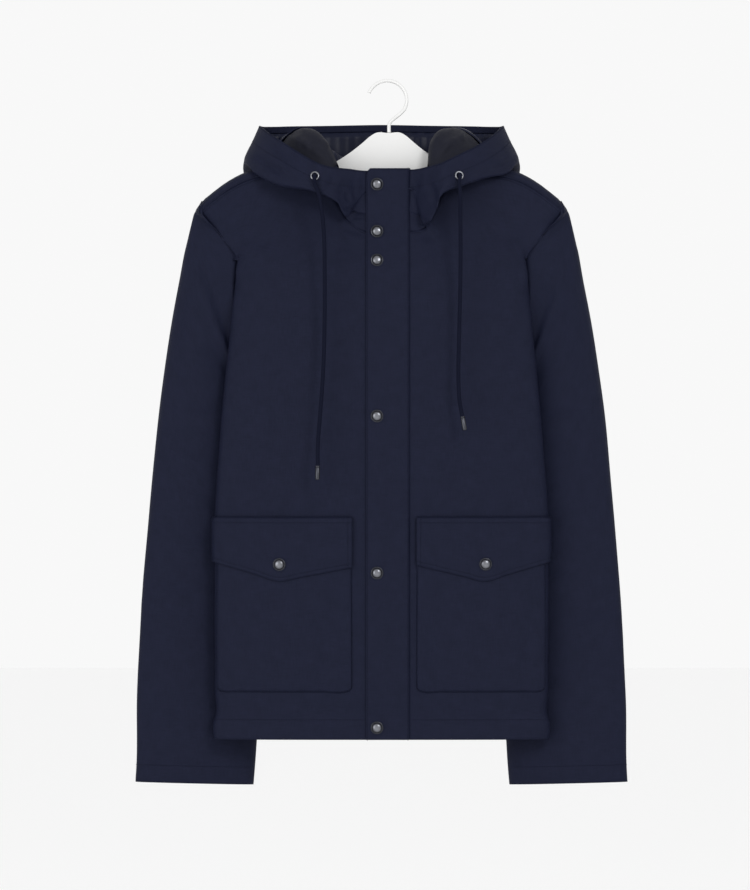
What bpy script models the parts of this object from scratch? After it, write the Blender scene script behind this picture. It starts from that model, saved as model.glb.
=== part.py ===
"""Hooded nylon jacket, snapped shut and hanging on a flat hanger.

The origin is the inside of the hanger hook's crown, X runs to the right of someone facing the front,
Y points away from them and Z is up. Sizes in the tables are millimetres; objects are made in metres.
"""

import math

import bmesh
import bpy
import numpy as np

MM = 0.001
COLLECTION = "nylon_jacket_on_hanger"

# ---------------------------------------------------------------- driving sizes, in mm
JACKET_X = -8.4            # the jacket's centre line hangs this far left of the hook
SHELL_WALL = 1.4
LINING_WALL = 0.9
SEAM_GAP = 0.5             # between pieces at a seam
LAY_GAP = 0.8              # under what lies on a panel
BODY_HALF_WIDTH = 201.0
SECTION_POWER = 0.8        # below 1 gives the body's section a flatter front and quicker sides
SHOULDER_ROUND = 14.0      # how far front and back stand off the ridge over the hanger
BULGE_REACH = 200.0        # below the ridge, where the chest has its full depth
CENTRE_X = 8.0             # the fronts meet here, under the placket
YOKE_Z = -212.0            # where the armhole seam comes out from behind the side fold
ARMPIT_Z = -345.0
HEM_Z = -791.0
SEAM_ROUND = math.radians(78)   # the shoulder seam lies this far round the ridge, to the front
SIDE_SEAM = math.radians(106)
ARMPIT_TURN = math.radians(116)

PLACKET_LEFT, PLACKET_RIGHT, PLACKET_TOP = -18.6, 34.4, -104.5
PLACKET_CORNER = 8.0
PLACKET_SNAP_X = -5.4
PLACKET_SNAP_Z = (-123.6, -180.0, -214.8, -402.0, -590.4, -776.4)
SNAP_D, SNAP_H = 15.0, 4.0

POCKET_SEAM_Z, POCKET_TOP_Z, POCKET_BOTTOM_Z, POCKET_CORNER = -522.7, -531.0, -734.0, 7.0
EYELET_D, EYELET_HOLE, EYELET_H = 11.0, 6.2, 1.1
CORD_D = 4.8
TIP_D, TIP_LENGTH = 5.4, 17.0
FACING_WIDTH = 22.0        # the drawcord casing inside the hood's opening edge

HANGER_THICK = 9.0
HOOK_WIRE = 4.2
HOOK_RADIUS = 23.5

# Top ridge of the shoulders over the hanger, and the body's widths and depths, down from the hook
RIDGE = dict(
    x=(0, 60, 100, 164, 185, 202, 216, 221, 240),
    z=(-90, -92, -98, -108, -119, -131, -143, -149, -172),
)
BODY = dict(
    z=(-791, -769, -764, -752, -612, -520, -440, -355, -283, -212),
    half_width=(202.7, 202.7, 200.6, 200.6, 201, 200.5, 195.5, 188, 180.5, 173.5),
    side_y=(-2, -2, -2, -2.3, -5, -7, -10, -12, -13, -14),
    front_bulge=(25, 25, 25, 25.3, 28, 30, 31, 31, 30, 30),
    back_y=(26, 26, 26, 26.4, 30, 33, 35, 36, 36, 36),
)
# Neck seam, from the centre front over each shoulder: across and down
NECK = dict(
    left=((8, -181), (-21, -181), (-38, -170), (-46, -161),
          (-53, -147), (-70, -128), (-89, -114), (-98, -109.4)),
    right=((8, -181), (34.4, -181), (46, -180), (56, -172),
           (66, -154), (74, -134), (89, -115), (98, -109.4)),
)
BACK_NECK = ((0, -118), (28, -117), (56, -112.5), (78, -105.5), (90, -100))
# Armhole seam on the front, from where the side fold hides it up towards the shoulder seam
ARMHOLE_FRONT = ((173.5, -212), (188, -192), (204, -171))

# Sleeve sections: outer and inner fold (across, down), their depths in Y, and the section's thickness
SLEEVE = (
    dict(outer=(226, -161), outer_y=2, inner=(172, -351), inner_y=9, thick=26),
    dict(outer=(237, -203), outer_y=7, inner=(169, -362), inner_y=14, thick=42),
    dict(outer=(244.5, -242), outer_y=10, inner=(165, -380), inner_y=24, thick=50),
    dict(outer=(255.5, -302), outer_y=12, inner=(157, -415), inner_y=33, thick=56),
    dict(outer=(267, -383), outer_y=14, inner=(149, -465), inner_y=37, thick=54),
    dict(outer=(279, -503), outer_y=15, inner=(145, -550), inner_y=38, thick=46),
    dict(outer=(289, -623), outer_y=15, inner=(146, -650), inner_y=36, thick=38),
    dict(outer=(295, -743), outer_y=14, inner=(149, -757), inner_y=33, thick=32),
    dict(outer=(296, -824), outer_y=14, inner=(153, -830), inner_y=31, thick=29),
    dict(outer=(297, -843), outer_y=14, inner=(154.5, -847), inner_y=31, thick=29),
)

# Hood sections round the neck. Each runs up from the neck seam to a crest, over and down to the fold that
# lies outside the collar, and up again to the hood's opening edge.
HOOD = dict(
    left=(
        dict(seam=0, crest=(8, -28.2, -157), fold=(8, -29.5, -132), edge=(8, -31, -106)),
        dict(seam=1, crest=(-20, -28.2, -158), fold=(-20, -29.5, -134), edge=(-19, -31, -107.5)),
        dict(seam=2, crest=(-36, -26.5, -152), fold=(-41, -40, -163), edge=(-38, -39, -105.5)),
        dict(seam=3, crest=(-43, -24.5, -128), fold=(-51, -49, -148), edge=(-57, -48, -104)),
        dict(seam=4, crest=(-55, -27, -101), fold=(-66, -54, -139), edge=(-74, -54, -99.5)),
        dict(seam=5, crest=(-67, -24, -79), fold=(-91, -50, -131), edge=(-91, -48, -90.5)),
        dict(seam=6, crest=(-77, -13, -64), fold=(-121, -39, -126), edge=(-112, -37, -77)),
        dict(seam=7, crest=(-88, 0, -58), fold=(-146, -20, -113), edge=(-132, -17, -63.5)),
        dict(seam=8, crest=(-95, 17, -59), fold=(-155, 6, -101), edge=(-146, 12, -52)),
        dict(seam=9, crest=(-92, 30, -67), fold=(-153, 38, -126), edge=(-143, 42, -51.5)),
        dict(seam=10, crest=(-76, 39, -80), fold=(-130, 54, -188), edge=(-124, 68, -50.5)),
        dict(seam=11, crest=(-44, 45, -94), fold=(-78, 62, -258), edge=(-78, 79, -49.3)),
        dict(seam=12, crest=(0, 48, -98), fold=(0, 64, -290), edge=(0, 83, -48)),
    ),
    right=(
        dict(seam=0, crest=(8, -28.2, -157), fold=(8, -29.5, -132), edge=(8, -31, -106)),
        dict(seam=1, crest=(36, -28.2, -157), fold=(36, -29.5, -132), edge=(36, -31, -106)),
        dict(seam=2, crest=(46, -26.5, -160), fold=(50, -39, -172), edge=(50, -39, -104)),
        dict(seam=3, crest=(52, -24.5, -138), fold=(63, -49, -160), edge=(63, -47.5, -101)),
        dict(seam=4, crest=(58, -27, -101), fold=(71, -54, -138), edge=(75, -53.5, -97)),
        dict(seam=5, crest=(61, -24, -80), fold=(91, -50, -128), edge=(91, -47, -89)),
        dict(seam=6, crest=(69, -13, -63), fold=(121, -38, -117), edge=(113, -36, -78)),
        dict(seam=7, crest=(80, 0, -58), fold=(146, -20, -111), edge=(132, -17, -65)),
        dict(seam=8, crest=(92, 17, -59), fold=(155, 6, -101), edge=(146, 12, -52)),
        dict(seam=9, crest=(91, 30, -67), fold=(153, 38, -126), edge=(143, 42, -51.5)),
        dict(seam=10, crest=(76, 39, -80), fold=(130, 54, -188), edge=(124, 68, -50.5)),
        dict(seam=11, crest=(44, 45, -94), fold=(78, 62, -258), edge=(78, 79, -49.3)),
        dict(seam=12, crest=(0, 48, -98), fold=(0, 64, -290), edge=(0, 83, -48)),
    ),
)
POCKETS = dict(
    left=dict(outer=-198.0, inner=-35.4, lip=((-201.0, -577.0), (-122.3, -600.4), (-35.4, -583.6)),
              snap=(-122.3, -580.0)),
    right=dict(outer=197.0, inner=42.0, lip=((42.0, -581.0), (124.5, -600.4), (201.0, -577.0)),
               snap=(124.5, -579.6)),
)
EYELETS = dict(left=(-79.8, -114.6), right=(93.0, -114.0))
# Each cord's free end: across and down below the eyelet; it hangs plumb in front of the chest
CORDS = dict(
    left=((-77, -131), (-71.5, -157), (-68.5, -194), (-68, -225), (-68, -277), (-69, -329), (-71, -368),
          (-74, -407), (-76, -433), (-76.4, -461)),
    right=((93.8, -131), (94.4, -165), (94.6, -205), (94.2, -250), (93, -300), (92, -345), (92.2, -366),
           (93.7, -386), (96.6, -402)),
)
CORD_Y = -63.0

LOOSE_FROM = math.radians(80)      # front columns beyond this angle close up towards the panel's edge
FRONT_ROWS_Z = (HEM_Z, -769.0, -764.0, POCKET_BOTTOM_Z, -665.0, -600.4, -562.0, -526.0, -440.0, ARMPIT_Z,
                -300.0, -255.0, YOKE_Z)
BACK_ROWS_Z = FRONT_ROWS_Z[:FRONT_ROWS_Z.index(ARMPIT_Z) + 1]
NECK_COLUMNS = 8
BACK_SPREAD = (0, 0.13, 0.26, 0.37, 0.46, 0.55, 0.65, 0.74, 0.83, 0.92, 1)
# Columns that meet the shoulder seam, in front and behind
SHOULDER_X = (98, 121.7, 145.4, 169.1, 192.8, 216.5)
SIDE_SEAM_TURN = 0.05              # the gap at the side seam, as an angle
BACK_BULGE = 22.0
BACK_CLIMB = (0.22, 0.42, 0.60, 0.76, 0.87, 0.93, 0.965, 1.0)
BACK_ARMHOLE = dict(share=(0, 0.22, 0.42, 0.60, 0.76, 0.87, 1.0), x=(172.5, 174, 181, 192, 204, 212, 216.5))
SHOULDER_SEAM_DROP = 2.2           # the front starts this far below the back's edge, whose chords sag
SLEEVE_RING = 20
SLEEVE_GAP = 1.2
HOOD_STEPS = (3, 6, 4)             # columns up to the crest, down to the fold, up to the facing
HOOD_FINE = 4
HOOD_ROWS = (0, 1) + tuple(k / 2 for k in range(3, 25))   # section numbers
LINING_FIRST_ROW = HOOD_ROWS.index(4)     # before this row the collar's inside doesn't show
LINING_CHANGE_ROW = HOOD_ROWS.index(7.5)   # where the grey side lining meets the satin at the back
LINING_INSET = SHELL_WALL + 0.6
HOOD_INSET, HOOD_LIFT = 1.3, 1.0   # the hood starts just inside and above the neck seam
CREST_ROUND = 1.1
BEND = 5.0                         # least radius of the hood's crest and fold

PLACKET_OUT = LAY_GAP + SHELL_WALL
CORD_POINTS = 40

# Hanger outline, right half: across and down
HANGER_TOP = ((0, -61), (16, -61.3), (22, -65), (29, -71), (38, -78.5), (54, -90), (69, -99), (82, -106.5),
              (110, -110.5), (155, -118), (190, -135))
HANGER_LOW = ((0, -126), (60, -129), (110, -136), (155, -143), (190, -152))
HOOK_CENTRE = (-1.5, -21.4)
HOOK_STEM = ((14.5, -37.5), (7.5, -43.0), (2.6, -47.5), (0.7, -52.0))
HOOK_FROM, HOOK_TO = 158, -28      # degrees of the hook's arc, from its free end to the bend into the stem

COLOURS = {
    "nylon": ((0.016, 0.019, 0.037), 0.55, 0.0),
    "lining_grey": ((0.021, 0.023, 0.038), 0.6, 0.0),
    "satin": ((0.023, 0.025, 0.045), 0.35, 0.0),
    "snap_metal": ((0.20, 0.21, 0.23), 0.3, 1.0),
    "cord": ((0.012, 0.014, 0.028), 0.7, 0.0),
    "hanger_white": ((0.85, 0.85, 0.84), 0.35, 0.0),
}


# ---------------------------------------------------------------- helpers
def curve_through(knots, values):
    """A function that passes smoothly through a short table; the slopes come from the neighbouring rows."""
    knots = np.asarray(knots, float)
    values = np.asarray(values, float)
    slopes = np.gradient(values, knots, axis=0)

    def at(where):
        where = np.clip(np.asarray(where, float), knots[0], knots[-1])
        i = np.clip(np.searchsorted(knots, where, side="right") - 1, 0, len(knots) - 2)
        span = knots[i + 1] - knots[i]
        u = (where - knots[i]) / span
        if values.ndim > 1:
            u, span = u[..., None], span[..., None]
        return (
            (2 * u**3 - 3 * u**2 + 1) * values[i]
            + (u**3 - 2 * u**2 + u) * span * slopes[i]
            + (3 * u**2 - 2 * u**3) * values[i + 1]
            + (u**3 - u**2) * span * slopes[i + 1]
        )

    return at


def smooth_step(t):
    t = np.clip(t, 0.0, 1.0)
    return t * t * (3 - 2 * t)


def power(value, exponent):
    return np.sign(value) * np.abs(value) ** exponent


ridge_z = curve_through(RIDGE["x"], RIDGE["z"])
half_width = curve_through(BODY["z"], BODY["half_width"])
side_y = curve_through(BODY["z"], BODY["side_y"])
front_bulge = curve_through(BODY["z"], BODY["front_bulge"])
back_depth = curve_through(BODY["z"], BODY["back_y"])


def material(name):
    found = bpy.data.materials.get(name)
    if found:
        return found
    colour, rough, metal = COLOURS[name]
    made = bpy.data.materials.new(name)
    made.use_nodes = True
    shader = made.node_tree.nodes["Principled BSDF"]
    shader.inputs["Base Color"].default_value = (*colour, 1.0)
    shader.inputs["Roughness"].default_value = rough
    shader.inputs["Metallic"].default_value = metal
    return made


def add_object(name, data, finish):
    data.materials.append(material(finish))
    made = bpy.data.objects.new(name, data)
    bpy.data.collections[COLLECTION].objects.link(made)
    return made


def grid_normals(points, closed=False):
    """Unit normals of a grid of surface points (rows, columns, xyz)."""
    if closed:
        ring = np.concatenate([points[:, -1:], points, points[:, :1]], axis=1)
        across = (ring[:, 2:] - ring[:, :-2])
    else:
        across = np.gradient(points, axis=1)
    normal = np.cross(np.gradient(points, axis=0), across)
    return normal / np.maximum(np.linalg.norm(normal, axis=2, keepdims=True), 1e-9)


def grid_mesh(name, points, closed=False):
    """A mesh of triangles over a grid, each cell split along the same diagonal, so that layers lie alike."""
    rows, columns = points.shape[:2]
    spots = points.reshape(-1, 3) + np.array([JACKET_X, 0, 0])
    faces = []
    for r in range(rows - 1):
        for c in range(columns if closed else columns - 1):
            nxt = (c + 1) % columns
            near, far = r * columns, (r + 1) * columns
            faces.append((near + c, near + nxt, far + nxt))
            faces.append((near + c, far + nxt, far + c))
    mesh = bpy.data.meshes.new(name)
    mesh.from_pydata([tuple(p * MM) for p in spots], [], faces)
    mesh.update()
    return mesh


def inner_layer(points, depth, flip):
    """The grid moved in from its outer face by depth, the same way that a wall is given to it."""
    if flip:
        return inner_layer(points[:, ::-1], depth, False)[:, ::-1]
    mesh = grid_mesh("layer", points)
    normals = np.empty(len(mesh.vertices) * 3, np.float32)
    mesh.vertices.foreach_get("normal", normals)
    bpy.data.meshes.remove(mesh)
    return points - normals.reshape(points.shape) * depth


def cloth(name, points, finish="nylon", wall=SHELL_WALL, closed=False, flip=False):
    """One piece of cloth: a grid of points on its outer face, given a wall on the inner side."""
    mesh = grid_mesh(name, points[:, ::-1] if flip else points, closed)
    mesh.shade_smooth()
    made = add_object(name, mesh, finish)
    solid = made.modifiers.new("wall", "SOLIDIFY")
    solid.thickness = wall * MM
    solid.offset = -1
    return made


def face_outwards(build):
    """Turn a closed mesh's faces outwards, by the sign of its volume."""
    if build.calc_volume(signed=True) < 0:
        bmesh.ops.reverse_faces(build, faces=build.faces)


def turned(name, profile, centre, axis, finish, steps=16):
    """A turned piece from its (radius, height) profile, standing at centre along axis."""
    mesh = bpy.data.meshes.new(name)
    build = bmesh.new()
    rings = []
    for radius, height in profile:
        ring = []
        for k in range(steps if radius > 0 else 1):
            angle = 2 * math.pi * k / steps
            ring.append(build.verts.new((radius * math.cos(angle), radius * math.sin(angle), height)))
        rings.append(ring)
    for low, high in zip(rings, rings[1:]):
        for k in range(steps):
            nxt = k + 1
            corners = [low[k % len(low)], low[nxt % len(low)], high[nxt % len(high)], high[k % len(high)]]
            corners = list(dict.fromkeys(corners))
            if len(corners) > 2:
                build.faces.new(corners)
    direction = np.asarray(axis, float) / np.linalg.norm(axis)
    side = np.cross(direction, (0.0, 0.3, 1.0))
    side /= np.linalg.norm(side)
    basis = np.column_stack([side, np.cross(direction, side), direction])
    face_outwards(build)
    for vert in build.verts:
        spot = np.asarray(centre, float) + basis @ np.array(vert.co)
        vert.co = tuple((spot + [JACKET_X, 0, 0]) * MM)
    build.to_mesh(mesh)
    build.free()
    mesh.shade_smooth()
    return add_object(name, mesh, finish)


def tube(name, points, diameter, finish, resolution=2):
    """A round cord or wire through the points, which are already in the frame's own X."""
    curve = bpy.data.curves.new(name, "CURVE")
    curve.dimensions = "3D"
    curve.bevel_depth = diameter / 2 * MM
    curve.bevel_resolution = resolution
    curve.use_fill_caps = True
    line = curve.splines.new("POLY")
    line.points.add(len(points) - 1)
    for spot, point in zip(line.points, points):
        spot.co = (*(np.asarray(point) * MM), 1.0)
    return add_object(name, curve, finish)


# ---------------------------------------------------------------- body
def over_ridge(x, turn, depth, lean, sign):
    """A point at x, turned round the ridge: over the top, then down the front (sign -1) or the back (+1).

    depth is how far the panel stands beyond its edge, and lean runs from 1 at the centre to 0 at the side.
    """
    on_arc = np.minimum(turn, math.pi / 2)
    below = SHOULDER_ROUND * np.where(turn < math.pi / 2, 1 - np.cos(on_arc), 1 + (turn - math.pi / 2))
    y = SHOULDER_ROUND * np.sin(on_arc) + depth * lean * smooth_step(below / BULGE_REACH)
    return np.stack([x, sign * y, ridge_z(np.abs(x)) - below], axis=-1)


def turn_at(x, z):
    """How far round the ridge a point at height z lies."""
    below = ridge_z(np.abs(x)) - z
    share = np.clip(below / SHOULDER_ROUND, 0, 1)
    return np.where(below < SHOULDER_ROUND, np.arccos(1 - share), math.pi / 2 + below / SHOULDER_ROUND - 1)


def lower_body(angle, z, side):
    """The body below the yoke: angle 0 is the centre front, 90 degrees the side fold, 180 the centre back."""
    sine = np.abs(np.sin(angle)) ** SECTION_POWER
    cosine = power(np.cos(angle), SECTION_POWER)
    wide = half_width(z)
    x = BODY_HALF_WIDTH * sine + (wide - BODY_HALF_WIDTH) * sine**5
    bulge = front_bulge(z) * smooth_step((ridge_z(x) - z) / BULGE_REACH)
    front = side_y(z) - bulge * np.maximum(cosine, 0)
    back = side_y(z) + (back_depth(z) - side_y(z)) * np.minimum(cosine, 0) ** 2
    return np.stack([side * x, np.where(cosine > 0, front, back), z + 0 * x], axis=-1)


def angle_at(x):
    """The section angle of a place across the body's front."""
    return math.asin(min(1.0, abs(x) / BODY_HALF_WIDTH) ** (1 / SECTION_POWER))


def front_neck(side):
    knots = np.array(NECK[side], float)
    return curve_through(np.arange(len(knots)), knots)


def neck_point(side, at):
    """A point on the neck seam: section numbers 0 to 7 run over the front, 8 to 12 over the back."""
    sign = -1 if side == "left" else 1
    if at <= 7:
        x, z = front_neck(side)(at)
        return front_point(x, z)
    back = np.array(BACK_NECK[::-1], float)
    x, z = curve_through(np.arange(8, 13), back)(max(at, 8.0))
    spot = over_ridge(np.array(sign * x), turn_at(np.array(x), z), 22.0, 1.0, 1)
    if at < 8:
        x7, z7 = front_neck(side)(7.0)
        return front_point(x7, z7) * (8 - at) + spot * (at - 7)
    return spot


def front_point(x, z):
    """A point on the front panel's outer face at a place across and down."""
    x = np.asarray(x, float)
    z = np.asarray(z, float)
    sine = np.clip(np.abs(x) / BODY_HALF_WIDTH, 0, 1)
    lean = (1 - sine ** (2 / SECTION_POWER)) ** (SECTION_POWER / 2)
    high = over_ridge(x, turn_at(x, z), front_bulge(YOKE_Z), lean, -1)
    low_y = side_y(z) - front_bulge(z) * smooth_step((ridge_z(np.abs(x)) - z) / BULGE_REACH) * lean
    y = np.where(z > YOKE_Z, high[..., 1], low_y)
    return np.stack([x + 0 * z, y, z + 0 * x], axis=-1)


def front_columns(side):
    """Section angles of the front's columns, with one at each edge that a pocket or the placket needs."""
    pocket = POCKETS[side]
    flap_tip = abs(pocket["snap"][0])
    placket = PLACKET_LEFT if side == "left" else PLACKET_RIGHT
    marks = (CENTRE_X, placket, pocket["inner"], 72.0, 98.0, flap_tip, 150.0, 175.0, 190.0, pocket["outer"])
    angles = [angle_at(x) for x in marks] + [math.radians(90), math.radians(98), SIDE_SEAM]
    if side == "left":
        angles[0] = -angles[0]
    return np.array(angles)


def armhole_turn(z):
    """Angle of the front's edge: the side seam up to the armpit, then the armhole coming round to the fold."""
    if z < ARMPIT_Z:
        return SIDE_SEAM + (ARMPIT_TURN - SIDE_SEAM) * float(smooth_step((z - HEM_Z) / (ARMPIT_Z - HEM_Z)))
    return ARMPIT_TURN + (math.pi / 2 - ARMPIT_TURN) * (z - ARMPIT_Z) / (YOKE_Z - ARMPIT_Z)


def body_row(angles, z, side):
    """One row of the front: the columns near the side close up or spread to end on the panel's edge."""
    loose = angles > LOOSE_FROM
    spread = (armhole_turn(z) - LOOSE_FROM) / (SIDE_SEAM - LOOSE_FROM)
    placed = np.where(loose, LOOSE_FROM + (angles - LOOSE_FROM) * spread, angles)
    return lower_body(placed, z, side)


def front_grid(side):
    """Rows from the hem up to the yoke, then on to the neck and the shoulder seam."""
    sign = -1 if side == "left" else 1
    angles = front_columns(side)
    rows = [body_row(angles, z, sign) for z in FRONT_ROWS_Z]
    base = rows[-1]
    top = front_top(side)
    seam = ARMHOLE_FRONT + ((abs(top[-1, 0]), top[-1, 1]),)
    arm = curve_through(np.linspace(0, 1, len(seam)), seam)
    full = front_bulge(YOKE_Z) * smooth_step((ridge_z(np.abs(base[:, 0])) - YOKE_Z) / BULGE_REACH)
    lean = np.clip((side_y(YOKE_Z) - base[:, 1]) / full, 0, 1)
    near_arm = smooth_step((np.linspace(0, 1, len(base)) - 0.5) / 0.5)
    for share in (0.2, 0.4, 0.6, 0.8, 1.0):
        across = base[:, 0] + (top[:, 0] - base[:, 0]) * share
        down = base[:, 2] + (top[:, 1] - base[:, 2]) * share
        edge_x, edge_z = arm(share)
        across = across + (sign * edge_x - across[-1]) * near_arm
        down = down + (edge_z - down[-1]) * near_arm
        rows.append(over_ridge(across, turn_at(across, down), front_bulge(YOKE_Z), lean, -1))
    grid = np.array(rows)
    grid[:, 0, 0] = CENTRE_X + sign * SEAM_GAP / 2
    return grid


def front_top(side):
    """Where each column meets the neck or the shoulder seam: across and down."""
    sign = -1 if side == "left" else 1
    neck = front_neck(side)(np.arange(NECK_COLUMNS))
    seam_x = np.array(SHOULDER_X[1:])
    seam_z = ridge_z(seam_x) - SHOULDER_ROUND * (1 - math.cos(SEAM_ROUND)) - SHOULDER_SEAM_DROP
    return np.concatenate([neck, np.stack([sign * seam_x, seam_z], axis=1)])


def back_half():
    """Rows of the back's right half, from the hem up and over the ridge to the shoulder seam in front."""
    rows = []
    spread = np.array(BACK_SPREAD)
    neck_x, neck_z = np.array(BACK_NECK).T
    top_x = np.concatenate([neck_x, SHOULDER_X])
    end = np.concatenate([turn_at(neck_x, neck_z), np.full(len(SHOULDER_X), -SEAM_ROUND)])
    for z in BACK_ROWS_Z:
        edge = armhole_turn(z) + SIDE_SEAM_TURN
        rows.append(lower_body(math.pi - (math.pi - edge) * spread, z, 1))
    base = rows[-1]
    start = turn_at(base[:, 0], base[:, 2])
    lean = (base[:, 1] - base[-1, 1]) / (base[0, 1] - base[-1, 1])
    settled = base[:, 1] - over_ridge(base[:, 0], start, BACK_BULGE, lean, 1)[:, 1]
    arm = curve_through(BACK_ARMHOLE["share"], BACK_ARMHOLE["x"])
    for share in BACK_CLIMB:
        turn = start + (end - start) * share
        x = base[:, 0] + (top_x - base[:, 0]) * smooth_step(share)
        x[-1] = arm(share)
        sign = np.where(turn < 0, -1, 1)
        row = over_ridge(x, np.abs(turn), BACK_BULGE, lean, 1)
        row[:, 1] *= sign
        row[:, 1] += settled * (1 - smooth_step(share / 0.6))
        rows.append(row)
    return np.array(rows)


def clear_of_armhole(grid, first_row, edge):
    """Pull a panel's edge column in from the armhole seam, so that the sleeve starts clear of it."""
    grid = grid.copy()
    inner = 1 if edge == 0 else -2
    inward = grid[first_row:, inner] - grid[first_row:, edge]
    grid[first_row:, edge] += inward / np.linalg.norm(inward, axis=1, keepdims=True) * SLEEVE_GAP
    return grid


# ---------------------------------------------------------------- sleeves
def resample(points, count):
    """The same number of steps along any seam."""
    length = np.concatenate([[0], np.cumsum(np.linalg.norm(np.diff(points, axis=0), axis=1))])
    where = np.linspace(0, length[-1], count)
    return np.stack([np.interp(where, length, points[:, k]) for k in range(3)], axis=1)


def armhole_ring(side, front, half):
    """The armhole seam as a ring: from the shoulder tip down the front to the armpit and up the back."""
    sign = -1 if side == "left" else 1
    armpit_row = FRONT_ROWS_Z.index(ARMPIT_Z)
    down_front = front[armpit_row:, -1][::-1]
    up_back = half[len(BACK_ROWS_Z) - 1:, -1] * np.array([sign, 1, 1])
    steps = SLEEVE_RING // 2 + 1
    return np.concatenate([resample(down_front, steps)[:-1], resample(up_back, steps)[:-1]])


def sleeve_grid(side, front, half):
    """Rings from the armhole down to the cuff."""
    sign = -1 if side == "left" else 1
    seam = armhole_ring(side, front, half)
    rings = []
    turn = 2 * math.pi * np.arange(SLEEVE_RING) / SLEEVE_RING
    for row in SLEEVE:
        outer = np.array([row["outer"][0], row["outer_y"], row["outer"][1]])
        inner = np.array([row["inner"][0], row["inner_y"], row["inner"][1]])
        flat = min(1.0, 0.75 + 0.25 * row["thick"] / 56)
        along = power(np.cos(turn), flat)[:, None] * (outer - inner) / 2
        through = power(np.sin(turn), flat)[:, None] * np.array([0, -row["thick"] / 2, 0])
        rings.append(((outer + inner) / 2 + along + through) * np.array([sign, 1, 1]))
    step = rings[0] - seam
    first = seam + step / np.linalg.norm(step, axis=1, keepdims=True) * SLEEVE_GAP
    return np.array([first] + rings)


# ---------------------------------------------------------------- hood
def hermite(start, end, start_slope, end_slope, u):
    u = u[:, None]
    return ((2 * u**3 - 3 * u**2 + 1) * start + (u**3 - 2 * u**2 + u) * start_slope
            + (3 * u**2 - 2 * u**3) * end + (u**3 - u**2) * end_slope)


def level_slope(step, share, least):
    """A level slope along a step, no shorter than the least, which keeps a fold from closing on itself."""
    flat = step * np.array([1, 1, 0])
    length = np.linalg.norm(flat)
    return flat / max(length, 1e-6) * max(length * share, least)


def hood_section(side, at, fine):
    """One section of the hood, from its neck seam over the crest and the outer fold to the opening edge."""
    steps = [count * fine for count in HOOD_STEPS]
    table = HOOD[side]
    knots = np.arange(len(table))
    seam = neck_point(side, at)
    inward = -seam * np.array([1, 1, 0]) / np.linalg.norm(seam[:2])
    seam = seam + inward * HOOD_INSET + np.array([0, 0, HOOD_LIFT])
    keys = ("crest", "fold", "edge")
    crest, fold, edge = (curve_through(knots, [row[key] for row in table])(at) for key in keys)
    open_up = float(smooth_step((at - 1.5) / 2))
    drop, climb = abs(crest[2] - fold[2]), abs(edge[2] - fold[2])
    over = level_slope(fold - seam, CREST_ROUND, math.sqrt(6 * BEND * drop) * open_up)
    under = level_slope(fold - seam, CREST_ROUND, math.sqrt(6 * BEND * max(drop, 0.7 * climb)) * open_up)
    rise = (edge - fold) * 0.9
    wall = hermite(fold, edge, under, rise, np.linspace(0, 1, 60))
    left_to_go = np.cumsum(np.linalg.norm(np.diff(wall, axis=0), axis=1)[::-1])[::-1]
    facing_from = 1 - np.count_nonzero(left_to_go < FACING_WIDTH) / len(left_to_go)
    below_facing = np.linspace(0, facing_from, steps[2] + 1)[1:]
    up = np.concatenate([below_facing, np.linspace(facing_from, 1, fine + 1)[1:]])
    parts = (
        hermite(seam, crest, crest - seam, over, np.sin(np.linspace(0, math.pi / 2, steps[0] + 1))),
        hermite(crest, fold, over, under, (1 - np.cos(np.linspace(0, math.pi, steps[1] + 1))) / 2)[1:],
        hermite(fold, edge, under, rise, up),
    )
    return np.concatenate(parts)


def hood_surface(side, fine=1):
    """Grid of the hood's outer face: a row for each section round the neck, columns up each section."""
    sign = -1 if side == "left" else 1
    last = len(HOOD_ROWS) - 1
    where = np.interp(np.linspace(0, last, last * fine + 1), np.arange(last + 1), HOOD_ROWS)
    return np.array([hood_section(side, at, fine) for at in where]) + np.array([sign * SEAM_GAP, 0, 0])


def hood_lining():
    """Grey lining at both sides, gathered satin across the back, and the facing inside the opening edge."""
    sides = ("left", "right")
    layers = {side: inner_layer(hood_surface(side), LINING_INSET, side == "right") for side in sides}
    for side, layer in layers.items():
        grey = layer[LINING_FIRST_ROW:LINING_CHANGE_ROW + 1, :-1]
        cloth(f"hood_lining_{side}", grey, "lining_grey", LINING_WALL, flip=side == "right")
    whole = np.concatenate([layers["left"], layers["right"][-2::-1]])
    satin = pulled_in(whole[LINING_CHANGE_ROW:len(whole) - LINING_CHANGE_ROW, :-1], (0, -1), LAY_GAP)
    cloth("hood_lining_back", satin, "satin", LINING_WALL)
    facing = pulled_in(whole[:, -2:].transpose(1, 0, 2), (0,), SEAM_GAP).transpose(1, 0, 2)
    cloth("hood_facing", facing, "nylon", LINING_WALL)


def pulled_in(grid, rows, gap):
    """A grid whose end rows stop short by the gap."""
    grid = grid.copy()
    for row in rows:
        inward = grid[row + 1 if row == 0 else row - 1] - grid[row]
        grid[row] += inward / np.linalg.norm(inward, axis=1, keepdims=True) * gap
    return grid


def on_wing(side, x, z):
    """The place on the hood's outer wall at x and z, and its outward normal."""
    surface = hood_surface(side, HOOD_FINE)
    normals = grid_normals(surface) * (-1 if side == "left" else 1)
    wall = slice((HOOD_STEPS[0] + HOOD_STEPS[1]) * HOOD_FINE, None)
    points, normals = surface[:60, wall].reshape(-1, 3), normals[:60, wall].reshape(-1, 3)
    away = np.hypot(points[:, 0] - x, points[:, 2] - z)
    near = np.argsort(away)[:6]
    weight = 1 / (away[near] + 0.01)
    spot = (points[near] * weight[:, None]).sum(0) / weight.sum()
    normal = normals[near].sum(0)
    return np.array([x, spot[1], z]), normal / np.linalg.norm(normal)


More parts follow.
